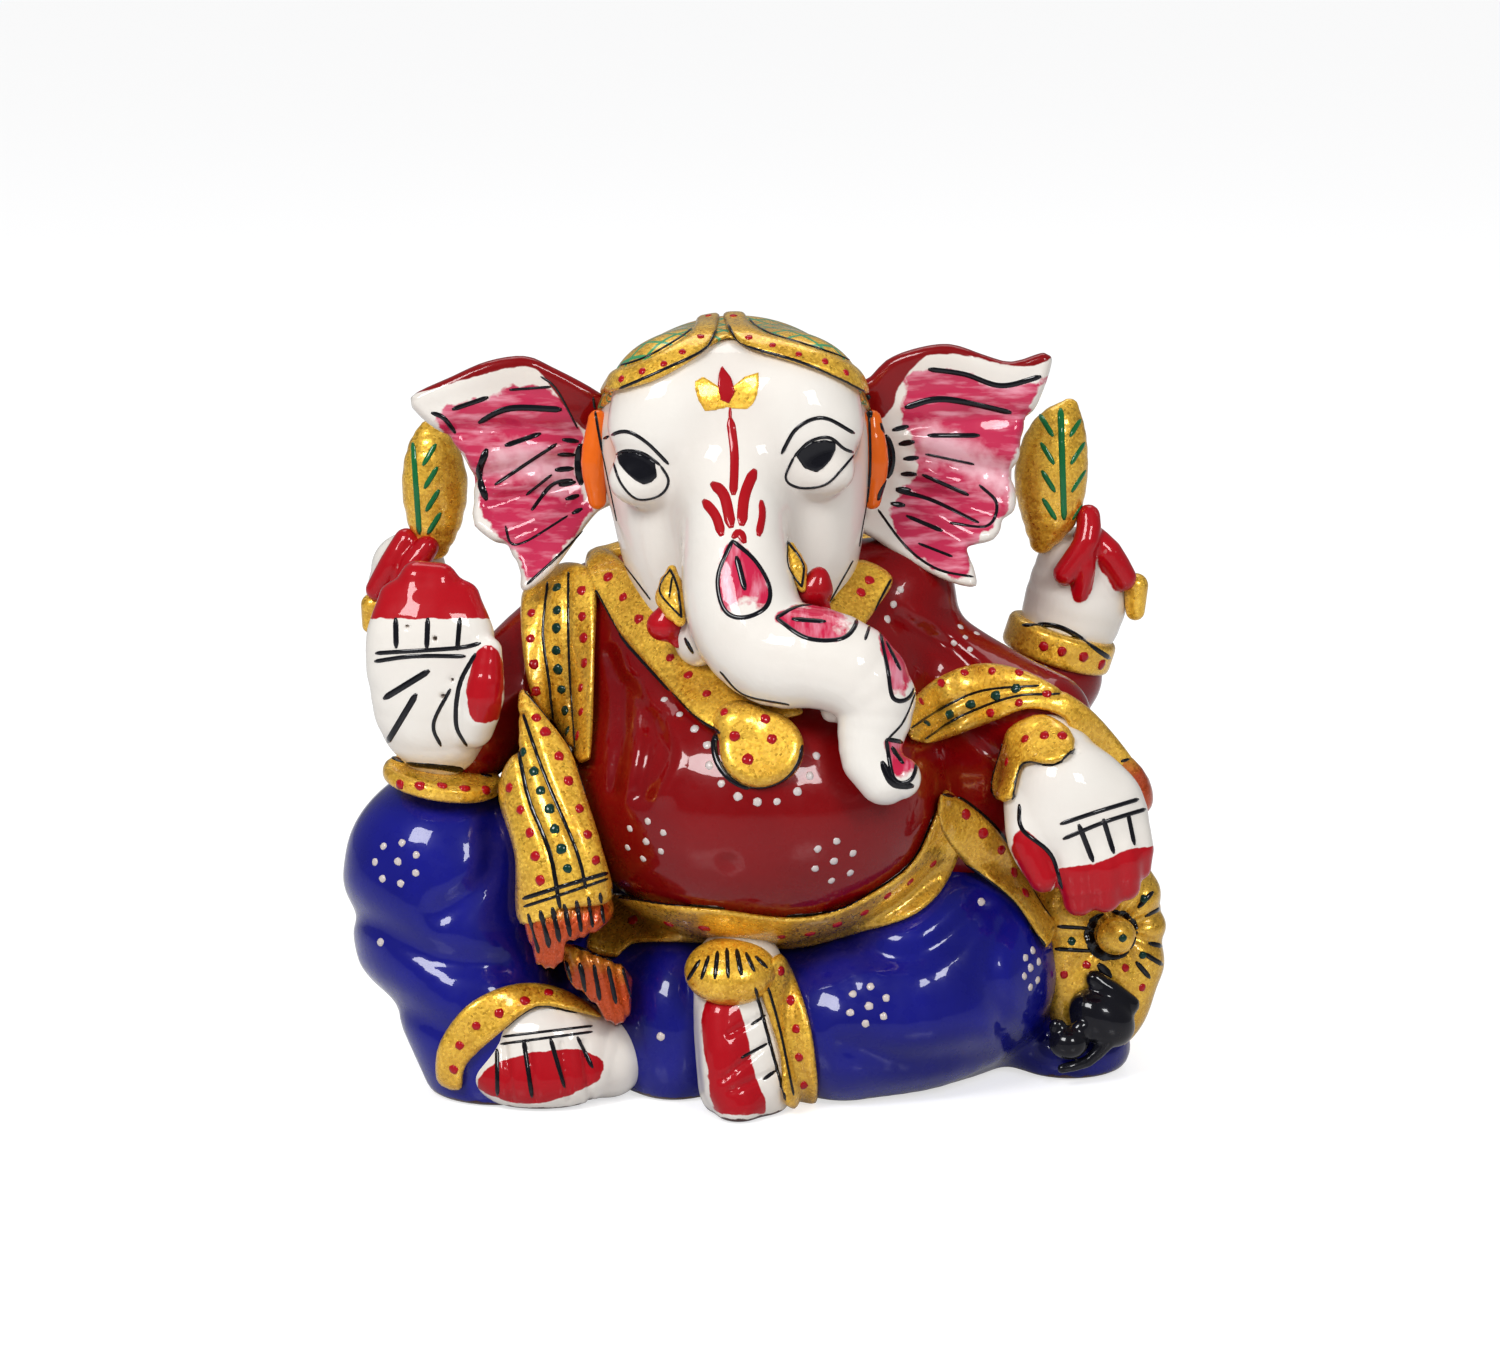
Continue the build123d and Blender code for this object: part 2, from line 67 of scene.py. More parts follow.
def length(rows):
    return np.sqrt(np.einsum("ij,ij->i", rows, rows))


def soft_min(a, b, soft):
    if soft <= 0:
        return np.minimum(a, b)
    mix = np.clip(0.5 + 0.5 * (b - a) / soft, 0, 1)
    return b + (a - b) * mix - soft * mix * (1 - mix)


def curve(points, step=0.6):
    """A smooth path through points, sampled about every step."""
    points = np.array(points, float)
    if len(points) < 3:
        count = max(2, int(np.linalg.norm(points[-1] - points[0]) / step))
        return np.linspace(points[0], points[-1], count + 1)
    padded = np.vstack([2 * points[0] - points[1], points, 2 * points[-1] - points[-2]])
    rows = []
    for a, b, c, d in zip(padded, padded[1:], padded[2:], padded[3:]):
        count = max(1, round(np.linalg.norm(c - b) / step))
        bend = 2 * a - 5 * b + 4 * c - d
        twist = 3 * b - a - 3 * c + d
        for t in np.arange(count) / count:
            rows.append(0.5 * (2 * b + (c - a) * t + bend * t**2 + twist * t**3))
    rows.append(points[-1])
    return np.array(rows)


def path_distance(p, path, radii=None):
    """Distance to a path, less its radius where radii are given."""
    best = np.full(len(p), 1e6)
    for i in range(len(path) - 1):
        run = path[i + 1] - path[i]
        t = np.clip((p - path[i]) @ run / max(run @ run, 1e-9), 0, 1)
        gap = length(p - path[i] - t[:, None] * run)
        if radii is not None:
            gap = gap - (radii[i] + (radii[i + 1] - radii[i]) * t)
        best = np.minimum(best, gap)
    return best


def seen(p):
    """Where points appear on the upright sheet, as rows of (x, z)."""
    eye = np.array(EYE)
    share = (SHEET_Y - eye[1]) / (p[:, 1] - eye[1])
    return eye[[0, 2]] + (p[:, [0, 2]] - eye[[0, 2]]) * share[:, None]


def polygon_distance(q, outline):
    """Signed distance in the plane to a closed outline."""
    inside = np.zeros(len(q), bool)
    best = np.full(len(q), 1e9)
    for a, b in zip(outline, np.roll(outline, -1, 0)):
        run = b - a
        t = np.clip((q - a) @ run / max(run @ run, 1e-9), 0, 1)
        best = np.minimum(best, length(q - a - t[:, None] * run))
        crosses = (a[1] > q[:, 1]) != (b[1] > q[:, 1])
        with np.errstate(divide="ignore", invalid="ignore"):
            meet_x = a[0] + (q[:, 1] - a[1]) * (b[0] - a[0]) / (b[1] - a[1])
        inside ^= crosses & (q[:, 0] < meet_x)
    return np.where(inside, -best, best)


def closed(outline, step=1.0):
    """A smooth closed outline through points."""
    points = list(outline)
    looped = curve([points[-1]] + points + points[:2], step)
    start = np.argmin(length(looped - np.array(points[0])))
    end = len(looped) - 1 - np.argmin(length(looped[::-1] - np.array(points[0])))
    return looped[start:end] if end > start else np.array(points, float)


class Form:
    """A solid given by a signed distance field and the box that holds it."""

    def __init__(self, field, low, high):
        self.field = field
        self.low = np.array(low, float)
        self.high = np.array(high, float)

    def join(self, other, soft=1.0):
        reach = 7.0 + soft

        def field(p):
            own = self.field(p)
            near = np.all((p > other.low - reach) & (p < other.high + reach), axis=1)
            if near.any():
                own = own.copy()
                own[near] = soft_min(own[near], other.field(p[near]), soft)
            return own

        return Form(field, np.minimum(self.low, other.low), np.maximum(self.high, other.high))

    def cut(self, other, soft=0.5):
        return Form(lambda p: -soft_min(-self.field(p), other.field(p), soft), self.low, self.high)

    def meet(self, other, soft=0.5):
        low = np.maximum(self.low, other.low)
        high = np.minimum(self.high, other.high)
        return Form(lambda p: -soft_min(-self.field(p), -other.field(p), soft), low, high)

    def swell(self, by):
        return Form(lambda p: self.field(p) - by, self.low - by, self.high + by)

    def shape(self, change):
        """Pushes the surface out where change(p) is positive and in where it is negative."""
        return Form(lambda p: self.field(p) - change(p), self.low - 1, self.high + 1)


def turned(degrees):
    """Rows are the axes of a frame turned about X, then Y, then Z."""
    x, y, z = (radians(a) for a in degrees)
    matrix = Matrix.Rotation(z, 3, "Z") @ Matrix.Rotation(y, 3, "Y") @ Matrix.Rotation(x, 3, "X")
    return np.array(matrix)


def egg(centre, radii, turn=(0, 0, 0)):
    centre, radii, axes = np.array(centre, float), np.array(radii, float), turned(turn)
    reach = max(radii)

    def field(p):
        q = (p - centre) @ axes
        near = length(q / radii)
        return near * (near - 1) / np.maximum(length(q / radii**2), 1e-6)

    return Form(field, centre - reach, centre + reach)


def limb(stations, flat=None):
    """A rounded limb through (x, y, z, radius) stations. flat=(direction, ratio) thins it."""
    rows = curve(stations, 1.5)
    path, radii = rows[:, :3], rows[:, 3]
    if flat is None:
        squeeze = np.eye(3)
    else:
        direction = np.array(flat[0], float) / np.linalg.norm(flat[0])
        squeeze = np.eye(3) + (flat[1] - 1) * np.outer(direction, direction)
    squeezed = path @ squeeze

    def field(p):
        return path_distance(p @ squeeze, squeezed, radii)

    reach = radii.max()
    return Form(field, path.min(0) - reach, path.max(0) + reach)


def lumped(form, lumps):
    """A form joined with eggs, each given as (centre, radii, softness of the join)."""
    for centre, radii, soft in lumps:
        form = form.join(egg(centre, radii), soft)
    return form


def drum(centre, axis, radii, half_length, soft=0.8):
    """An elliptical drum; radii are across X-ish and across the rest."""
    centre = np.array(centre, float)
    ahead = np.array(axis, float) / np.linalg.norm(axis)
    side = np.cross(ahead, (0, 0, 1)) if abs(ahead[2]) < 0.9 else np.cross(ahead, (0, 1, 0))
    side = side / np.linalg.norm(side)
    up = np.cross(side, ahead)

    def field(p):
        q = p - centre
        u, v, w = q @ side, q @ up, q @ ahead
        around = (np.sqrt((u / radii[0]) ** 2 + (v / radii[1]) ** 2) - 1) * min(radii)
        return -soft_min(-around, -(np.abs(w) - half_length), soft)

    reach = max(*radii, half_length) * 1.2
    return Form(field, centre - reach, centre + reach)


def above_table():
    return Form(lambda p: -p[:, 2], (-99, -99, 0), (99, 99, 99))


def front_column(points, half_width, far):
    """All from the front to far behind a band drawn on the sheet: points are (x, z)."""
    path = curve(points, 0.8)
    widths = np.interp(np.linspace(0, 1, len(path)), np.linspace(0, 1, len(half_width)), half_width)
    return front_prism(lambda q: path_distance(q, path, widths), path, max(widths), far)


def front_area(outline, far):
    """All from the front to far behind an outline drawn on the sheet: points are (x, z)."""
    edge = closed(outline)
    return front_prism(lambda q: polygon_distance(q, edge), edge, 0.5, far)


def front_prism(flat, points, reach, far):
    def field(p):
        return np.maximum(flat(seen(p)), np.maximum(NEAREST - p[:, 1], p[:, 1] - far))

    eye = np.array(EYE)[[0, 2]]
    spots = np.vstack([points - reach, points + reach])
    ends = [eye + (spots - eye) * (y - EYE.y) / (SHEET_Y - EYE.y) for y in (NEAREST, far)]
    spots = np.vstack(ends)
    low, high = spots.min(0), spots.max(0)
    return Form(field, (low[0], NEAREST, low[1]), (high[0], far, high[1]))


def within(outline, far):
    """A region that is negative inside an outline on the sheet and nearer than far."""
    edge = closed(outline)
    return lambda p: np.maximum(polygon_distance(seen(p), edge), p[:, 1] - far)


def ridges(points, width, height, front=0.0):
    """A change that raises, or with a negative height creases, along (x, z) paths on the front."""
    path = curve(points, 1.0)
    low, high = path.min(0) - 4 * width, path.max(0) + 4 * width

    def change(p):
        spots = seen(p)
        near = np.all((spots > low) & (spots < high), axis=1) & (p[:, 1] < front)
        push = np.zeros(len(p))
        if near.any():
            push[near] = height * np.exp(-((path_distance(spots[near], path) / width) ** 2))
        return push

    return change


def shifted(path, dx, dz):
    return [(x + dx, z + dz) for x, z in path]


def creased(form, paths, width, height, front=0.0):
    """A form with ridges or creases along paths."""
    for path in paths:
        form = form.shape(ridges(path, width, height, front))
    return form


def pleated(form, paths, crease, ridge, aside, front):
    """A form creased along paths, with a low ridge beside each; crease and ridge are (width, height)."""
    for path in paths:
        form = creased(form, [path], *crease, front)
        form = creased(form, [shifted(path, *aside)], *ridge, front)
    return form


def uneven(size, amount, seed):
    """Slow hand-made unevenness of the surface."""
    rng = np.random.default_rng(seed)
    waves = [(rng.normal(size=3) / size, rng.uniform(0, 2 * pi)) for _ in range(6)]

    def change(p):
        return amount * sum(np.sin(p @ wave + phase) for wave, phase in waves) / 3

    return change


# ---------------------------------------------------------------- forms to meshes
collection = bpy.context.scene.collection
workers = ThreadPoolExecutor(4)


def sample(field, points):
    parts = np.array_split(points, max(1, len(points) // 40000))
    return np.concatenate(list(workers.map(field, parts)))


def add_object(name, points, faces, material, slot):
    data = bpy.data.meshes.new(name)
    data.from_pydata([tuple(p) for p in np.asarray(points) * MM], [], [tuple(f) for f in faces])
    data.validate()
    data.update()
    piece = bpy.data.objects.new(name, data)
    collection.objects.link(piece)
    data.materials.append(material)
    data.shade_smooth()
    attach(piece, "root")
    return piece


def mesh_of(form, voxel):
    low = form.low - 3 * voxel
    side = BLOCK * voxel
    counts = np.maximum(np.ceil((form.high + 3 * voxel - low) / side).astype(int), 1)
    corners = np.stack(np.meshgrid(*[np.arange(n) for n in counts], indexing="ij"), -1).reshape(-1, 3)
    centres = low + (corners + 0.5) * side
    rough = sample(form.field, centres)
    active = np.abs(rough) < side * 1.6 + 1.0
    inside = np.stack(np.meshgrid(*[np.arange(BLOCK)] * 3, indexing="ij"), -1).reshape(-1, 3)
    points = low + (corners[active][:, None, :] * BLOCK + inside[None]) * voxel
    fine = np.broadcast_to(np.sign(rough)[:, None], (len(corners), BLOCK**3)).copy()
    fine[active] = sample(form.field, points.reshape(-1, 3)).reshape(-1, BLOCK**3)
    blocks = fine.reshape(*counts, BLOCK, BLOCK, BLOCK).transpose(0, 3, 1, 4, 2, 5)
    grid = openvdb.FloatGrid(1.0)
    grid.copyFromArray(np.ascontiguousarray(blocks.reshape(counts * BLOCK), dtype=np.float32))
    vertices, quads = grid.convertToQuads(0.0)
    return low + np.asarray(vertices, float) * voxel, np.asarray(quads)


hosts = {}
forms = {}


def sculpt(name, form, material, slot, nodes=None, voxel=FINE, regions=None):
    """Turns a form into the piece that stands for nodes, or for the node of its own name.

    Each region is written on it as a depth for the material to read.
    """
    nodes = nodes or [name]
    points, quads = mesh_of(form, voxel)
    piece = add_object(name, points, quads, material, slot)
    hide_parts(*nodes)
    layers = {"sole": lambda p: p[:, 2] - 0.5, **(regions or {})}
    # How far each point lies down in a hollow; the materials darken their colour by it as painted shade.
    hollow_shade = sample(form.field, points + normals_of(points, quads) * 1.2) - 1.2
    write_layer(piece, "hollow_shade", hollow_shade)
    for layer, region in layers.items():
        write_layer(piece, layer, sample(region, points))
    hosts[name] = (points, quads)
    forms[name] = form


def gild(name, form, voxel=FINE):
    sculpt(name, form, gold, "gold_paint", voxel=voxel)


def normals_of(points, quads):
    corners = points[quads]
    faces = np.cross(corners[:, 2] - corners[:, 0], corners[:, 3] - corners[:, 1])
    normals = np.zeros_like(points)
    for corner in range(4):
        np.add.at(normals, quads[:, corner], faces)
    return normals / np.maximum(length(normals), 1e-9)[:, None]


def write_layer(piece, name, values):
    layer = piece.data.attributes.new(name, "FLOAT", "POINT")
    layer.data.foreach_set("value", np.asarray(values, np.float32))


# ---------------------------------------------------------------- materials


class Nodes:
    """Short forms for building one material's nodes."""

    def __init__(self, name):
        self.material = bpy.data.materials.new(name)
        self.material.use_nodes = True
        self.tree = self.material.node_tree
        self.shader = self.tree.nodes["Principled BSDF"]

    def add(self, kind, **values):
        node = self.tree.nodes.new(kind)
        for key, value in values.items():
            if hasattr(node, key):
                setattr(node, key, value)
            else:
                node.inputs[key.replace("_", " ").title()].default_value = value
        return node

    def link(self, output, target):
        self.tree.links.new(output, target)

    def place(self, stretch=(1, 1, 1)):
        """Where a spot lies on its own piece."""
        mapping = self.add("ShaderNodeMapping")
        mapping.inputs["Scale"].default_value = stretch
        self.link(self.add("ShaderNodeTexCoord").outputs["Object"], mapping.inputs["Vector"])
        return mapping.outputs["Vector"]

    def noise(self, scale, detail=3.0, stretch=(1, 1, 1)):
        texture = self.add("ShaderNodeTexNoise", scale=scale, detail=detail)
        self.link(self.place(stretch), texture.inputs["Vector"])
        return texture.outputs["Fac"]

    def cells(self, scale):
        """One random colour for each small cell."""
        texture = self.add("ShaderNodeTexVoronoi", scale=scale)
        self.link(self.place(), texture.inputs["Vector"])
        return texture.outputs["Color"]

    def spread(self, value, low, high, out_low=0.0, out_high=1.0):
        node = self.add("ShaderNodeMapRange")
        for index, number in ((1, low), (2, high), (3, out_low), (4, out_high)):
            node.inputs[index].default_value = number
        self.link(value, node.inputs[0])
        return node.outputs[0]

    def math(self, operation, a, b):
        node = self.add("ShaderNodeMath", operation=operation)
        for index, value in enumerate((a, b)):
            if isinstance(value, (int, float)):
                node.inputs[index].default_value = value
            else:
                self.link(value, node.inputs[index])
        return node.outputs[0]

    def mix(self, factor, a, b):
        node = self.add("ShaderNodeMix", data_type="RGBA")
        self.link(factor, node.inputs[0])
        for index, value in ((6, a), (7, b)):
            if isinstance(value, tuple):
                node.inputs[index].default_value = (*value, 1)
            else:
                self.link(value, node.inputs[index])
        return node.outputs[2]

    def layer(self, name):
        return self.add("ShaderNodeAttribute", attribute_name=name).outputs["Fac"]

    def bump(self, height, distance, strength, over=None):
        node = self.add("ShaderNodeBump", distance=distance, strength=strength)
        self.link(height, node.inputs["Height"])
        if over is not None:
            self.link(over, node.inputs["Normal"])
        return node.outputs["Normal"]


def streaks(nodes, colour, stretch):
    """Thin strokes of paler paint through colour, long where stretch is 1 and fine where it is more."""
    strokes = nodes.noise(260, 4, stretch)
    return nodes.mix(nodes.spread(strokes, 0.48, 0.7), colour, PINK_PALE)


def lacquer(nodes, coat=1.0, coat_roughness=0.035):
    """The thick clear coat over all the paint, with its slow ripple."""
    shader = nodes.shader
    shader.inputs["Coat Weight"].default_value = coat
    shader.inputs["Coat Roughness"].default_value = coat_roughness
    shader.inputs["Coat IOR"].default_value = 1.42
    ripple = nodes.bump(nodes.noise(260, 2), 0.00012, 0.5)
    nodes.link(ripple, shader.inputs["Coat Normal"])


def enamel(name, base, shade, coats=(), blotch=0.5, roughness=(0.32, 0.5)):
    """Brushed enamel: base varies slowly towards shade, and coats are (layer, colour, ragged, fade)."""
    nodes = Nodes(name)
    patches = nodes.spread(nodes.noise(90, 4), 0.35, 0.75, 0, blotch)
    colour = nodes.mix(patches, base, shade)
    brush = nodes.noise(700, 3)
    # Painted shade: the colour darkens towards a deeper shade colour in the piece's hollows.
    hollow_shade = nodes.spread(nodes.layer("hollow_shade"), -0.05, -1.1)
    colour = nodes.mix(nodes.math("MULTIPLY", hollow_shade, 0.75), colour, tuple(c * 0.8 for c in shade))
    for layer, paint, ragged, fade in [*coats, ("sole", SOLE, 0.2, 0.05)]:
        edge = nodes.math("ADD", nodes.layer(layer), nodes.spread(brush, 0.3, 0.7, -ragged, ragged))
        if layer in ("pink", "petals"):
            paint = streaks(nodes, paint, (1, 1, 5) if layer == "pink" else (4, 1, 1))
        colour = nodes.mix(nodes.spread(edge, fade, -fade), colour, paint)
    nodes.link(colour, nodes.shader.inputs["Base Color"])
    nodes.link(nodes.spread(brush, 0.3, 0.7, *roughness), nodes.shader.inputs["Roughness"])
    nodes.shader.inputs["Specular IOR Level"].default_value = 0.12
    nodes.link(nodes.bump(brush, 0.00006, 0.6), nodes.shader.inputs["Normal"])
    lacquer(nodes)
    return nodes.material


def gold_paint(name, coats=()):
    """The nodes of gold paint full of fine flakes under lacquer."""
    nodes = Nodes(name)
    flakes = nodes.cells(4200)
    sparkle = nodes.add("ShaderNodeSeparateColor")
    nodes.link(flakes, sparkle.inputs[0])
    slow = nodes.spread(nodes.noise(220, 4), 0.35, 0.7)
    glints = nodes.math("MULTIPLY", sparkle.outputs[0], 0.55)
    tone = nodes.math("ADD", glints, nodes.math("MULTIPLY", slow, 0.5))
    colour = nodes.mix(tone, GOLD_DEEP, GOLD)
    # Painted shade: the gold darkens to a deep brown in the piece's hollows.
    hollow_shade = nodes.spread(nodes.layer("hollow_shade"), -0.1, -0.9)
    colour = nodes.mix(nodes.math("MULTIPLY", hollow_shade, 0.7), colour, tuple(c * 0.35 for c in GOLD_DEEP))
    for layer, paint, ragged, fade in coats:
        edge = nodes.math("ADD", nodes.layer(layer), nodes.spread(slow, 0, 1, -ragged, ragged))
        colour = nodes.mix(nodes.spread(edge, fade, -fade), colour, paint)
    nodes.link(colour, nodes.shader.inputs["Base Color"])
    nodes.link(nodes.spread(sparkle.outputs[1], 0, 1, 0.2, 0.75), nodes.shader.inputs["Metallic"])
    nodes.link(nodes.spread(sparkle.outputs[2], 0, 1, 0.22, 0.5), nodes.shader.inputs["Roughness"])
    rough = nodes.bump(nodes.noise(1500, 2), 0.00012, 0.5)
    grain = nodes.bump(sparkle.outputs[0], 0.0001, 0.35, rough)
    nodes.link(grain, nodes.shader.inputs["Normal"])
    lacquer(nodes, 0.8, 0.06)
    return nodes


WHITE = (0.78, 0.75, 0.7)
WHITE_SHADE = (0.62, 0.52, 0.46)
RED = (0.23, 0.0015, 0.004)
RED_SHADE = (0.17, 0.001, 0.004)
BRIGHT_RED = (0.42, 0.003, 0.012)
BLUE = (0.01, 0.012, 0.25)
BLUE_SHADE = (0.005, 0.006, 0.11)
SOLE = (0.05, 0.004, 0.004)
GOLD = (1, 0.64, 0.09)
GOLD_DEEP = (0.6, 0.32, 0.025)
EAR_PINK = (0.52, 0.035, 0.1)
PETAL_PINK = (0.54, 0.02, 0.075)
PINK_PALE = (0.72, 0.3, 0.38)
# Pale pink of the painted highlight that runs across the middle of each ear.
HIGHLIGHT_PINK = (0.78, 0.46, 0.52)
ORANGE = (0.95, 0.2, 0.01)
COPPER = (0.5, 0.075, 0.012)
INK = (0.003, 0.003, 0.006)
GREEN = (0.01, 0.2, 0.06)
DARK_GREEN = (0.003, 0.05, 0.035)
NET_GREEN = (0.04, 0.3, 0.12)
DOT_WHITE = (0.55, 0.5, 0.5)

white_red = enamel("white_red_tips", WHITE, WHITE_SHADE, [("tips", BRIGHT_RED, 0.12, 0.05)], blotch=0.25)
white_pink = enamel("white_pink_petals", WHITE, WHITE_SHADE, [("petals", PETAL_PINK, 0.3, 0.12)], blotch=0.25)
red = enamel("red_enamel", RED, RED_SHADE, blotch=0.7, roughness=(0.2, 0.4))
blue = enamel("blue_enamel", BLUE, BLUE_SHADE, blotch=0.7, roughness=(0.2, 0.4))
orange = enamel("orange_enamel", ORANGE, COPPER)
bright_red = enamel("bright_red_enamel", BRIGHT_RED, RED)
pale = enamel("pale_dot_enamel", DOT_WHITE, WHITE_SHADE)
verdant = enamel("green_enamel", GREEN, DARK_GREEN)
dark_green = enamel("dark_green_enamel", DARK_GREEN, INK)
black = enamel("black_enamel", INK, (0.02, 0.02, 0.03), roughness=(0.15, 0.3))
gold = gold_paint("gold_paint").material
copper = gold_paint("fringe_paint", [("tail", COPPER, 0.9, 1.6)]).material


def lattice_paint():
    """Gold paint crossed by a diamond net of pale green lines."""
    pitch = 0.0015
    nodes = gold_paint("cap_lattice")
    split = nodes.add("ShaderNodeSeparateXYZ")
    nodes.link(nodes.place(), split.inputs[0])
    wobble = nodes.spread(nodes.noise(300, 2), 0, 1, -0.0005, 0.0005)
    waves = []
    for lean in (1.1, -1.1):
        across = nodes.math("ADD", split.outputs[0], nodes.math("MULTIPLY", split.outputs[1], lean))
        waves.append(nodes.math("PINGPONG", nodes.math("ADD", across, wobble), pitch))
    line = nodes.spread(nodes.math("MINIMUM", *waves), 0.00035, 0.0002)
    gold_colour = nodes.shader.inputs["Base Color"].links[0].from_socket
    nodes.link(nodes.mix(line, gold_colour, NET_GREEN), nodes.shader.inputs["Base Color"])
    shine = nodes.shader.inputs["Metallic"].links[0].from_socket
    dull = nodes.math("MULTIPLY", shine, nodes.math("SUBTRACT", 1.0, line))
    nodes.link(dull, nodes.shader.inputs["Metallic"])
    return nodes.material


lattice = lattice_paint()
# The ear's coats: pink paint, a soft pale band of painted highlight, and the red rim.
EAR_COATS = [("pink", EAR_PINK, 0.35, 0.12), ("ear_highlight", HIGHLIGHT_PINK, 0.8, 1.2), ("rim", RED, 0.1, 0.06)]
ear_paint = enamel("ear_enamel", WHITE, WHITE_SHADE, EAR_COATS, blotch=0.3)

# ---------------------------------------------------------------- head, trunk and mouth
HEAD_X = -2.0
TRUNK = [
    (-2, -8, 62.5, 5.4), (-2, -12.6, 57.5, 5.1), (-1.7, -15.6, 52.4, 5.4), (-0.6, -17.8, 48.6, 5.4),
    (2, -19.6, 46.3, 5.1), (5.6, -20.9, 46, 4.8), (9, -21.6, 45, 4.5), (11.3, -22, 42.3, 3.9),
    (11, -22.6, 39, 3.2), (11, -23.2, 36.6, 2.9), (12.2, -23.7, 34.9, 2.7), (13.6, -23.9, 34.9, 2.1),
]
SKULL_LUMPS = [
    ((-1.4, -2.8, 54.6), (12, 10, 11.6), 4),
    ((-1.5, -6, 47.5), (7.6, 6, 4.6), 4),
    *[((x, -9, 66), (4.8, 3.2, 3.4), 4) for x in (-9.2, 5.4)],
    *[((x, -6.4, 69.6), (6, 5, 4.6), 4) for x in (-7, 3.2)],
]
FACE_LUMPS = [
    ((-10.9, -9.8, 61.2), (3.3, 2.3, 2.7), 1.5),
    ((6.4, -10.2, 62), (3.2, 2.2, 2.5), 1.5),
    ((-5.4, -13.2, 46.4), (2.4, 3.4, 2.8), 1.6),
    ((7.4, -20, 40.4), (1, 1.4, 0.8), 0.8),
]
head = lumped(egg((HEAD_X, 1, 63), (13.5, 13, 12)), SKULL_LUMPS)
head = head.cut(egg((-9, -15.2, 55.4), (2.5, 4, 4.6), (0, 12, 0)), 3)
head = head.cut(egg((5.8, -15.4, 56), (2.5, 4, 4.4), (0, -12, 0)), 3)
head = lumped(head.join(limb(TRUNK), 2.4), FACE_LUMPS)
head = head.shape(uneven(7, 0.12, 3))
PETALS = [
    [(-2.2, 55.6), (-3.6, 52), (-3, 48.8), (-1.2, 48), (1, 49), (1.4, 51), (0, 53.6)],
    [(2, 48), (4.5, 49.2), (8.5, 49), (9.8, 47.8), (8.5, 46), (5, 46)],
    [(12, 47), (14.5, 46), (15.6, 43), (15, 40.2), (13.4, 40), (12.8, 43)],
    [(12.7, 36), (14.5, 35.5), (15.6, 33.5), (15, 31.8), (13.5, 32)],
]


def petals(p):
    """Negative inside the petals, rising towards the round end of each."""
    spots = seen(p)
    best = np.full(len(p), 9.0)
    for outline in PETALS:
        tip = np.array(outline[0])
        run = np.mean(outline, 0) - tip
        share = (spots - tip) @ run / (run @ run)
        inside = polygon_distance(spots, closed(outline))
        best = np.minimum(best, np.maximum(inside, (share - 1.45) * 1.2))
    return np.maximum(best, p[:, 1] + 15)


head_nodes = ["head", "trunk", "lower_lip"]
sculpt("head_and_trunk", head, white_pink, "white_enamel", head_nodes, 0.34, {"petals": petals})

TUSKS = {
    "left": [(-8, -13.6, 53, 0.5), (-8.1, -15, 50.6, 1.5), (-7.2, -16.4, 48.6, 0.6)],
    "right": [(3.4, -15, 55.6, 0.4), (4, -16.2, 53.6, 1), (4.5, -16.8, 51.8, 0.4)],
}
TUSK_BEADS = {"left": (-8.7, -14.6, 47.8), "right": (5.7, -15.6, 51.4)}
for side, (x, y, z) in TUSK_BEADS.items():
    gild(f"tusk_{side}", limb(TUSKS[side]), 0.18)
    drop = egg((x, y, z), (1.75, 1.5, 1.6)).join(egg((x + 0.4, y, z + 1.3), (0.9, 0.9, 1)), 0.8)
    drop = drop.join(limb([(x, y, z, 0.8), (x + 1.2, y - 0.4, z - 1.8, 0.4)]), 0.5)
    sculpt(f"tusk_bead_{side}", drop, bright_red, "red_enamel", voxel=0.18)

# ---------------------------------------------------------------- kurta
SLEEVES = {
    "front_left": [
        (-14.5, 3, 44.6, 6.2), (-19.6, 3.4, 41.6, 5.7), (-24.4, 1, 37.6, 5.5), (-28.4, -3.6, 34.6, 5),
    ],
    "front_right": [
        (13.2, 3, 44.6, 6), (17.4, 2.2, 40.6, 5.8), (23.4, -0.8, 37.8, 5.3), (28.4, -4.6, 36.4, 4.8),
    ],
    "back_left": [(-15, 8, 39, 6), (-22.5, 10.6, 33.6, 5.4), (-28.5, 12, 33, 5), (-32.4, 13, 37, 4.6)],
    "back_right": [(15, 8, 39, 6), (21.5, 10.6, 33.6, 5.4), (27.4, 12, 33.2, 5), (30.6, 13, 37, 4.8)],
}
KURTA_LUMPS = [
    ((0, 0.8, 41.5), (18, 12.5, 10.5), 5),
    ((-1.5, 2.5, 50), (11, 8.5, 6), 4),
    ((13.5, 2.5, 48), (6.5, 6, 5.5), 3),
    ((19.5, -1.5, 26), (8, 8.5, 9.5), 3),
]
kurta = lumped(egg((0.5, -5.2, 29.8), (19, 18.3, 14.8)), KURTA_LUMPS)
for route in SLEEVES.values():
    kurta = kurta.join(limb(route), 2.5)
kurta = kurta.cut(egg((-2.6, -24.4, 26.2), (0.9, 1.8, 0.7)), 1)
CREASES = [
    [(-14, 44.5), (-12.6, 39), (-13.6, 31)],
    [(-12, 41.5), (-10.2, 36.5), (-11.4, 30.5)],
    [(-9.6, 38), (-8.8, 34.5), (-10.4, 30.5)],
    [(14, 48), (18, 45.5), (21, 43)],
]
kurta = pleated(kurta, CREASES, (0.8, -0.6), (1, 0.3), (1.6, 0), front=2).shape(uneven(9, 0.15, 5))
kurta_nodes = ["torso", "sleeve_front_left", "sleeve_front_right", "sleeve_back_left", "sleeve_back_right"]
sculpt("kurta", kurta, red, "red_enamel", kurta_nodes, COARSE)

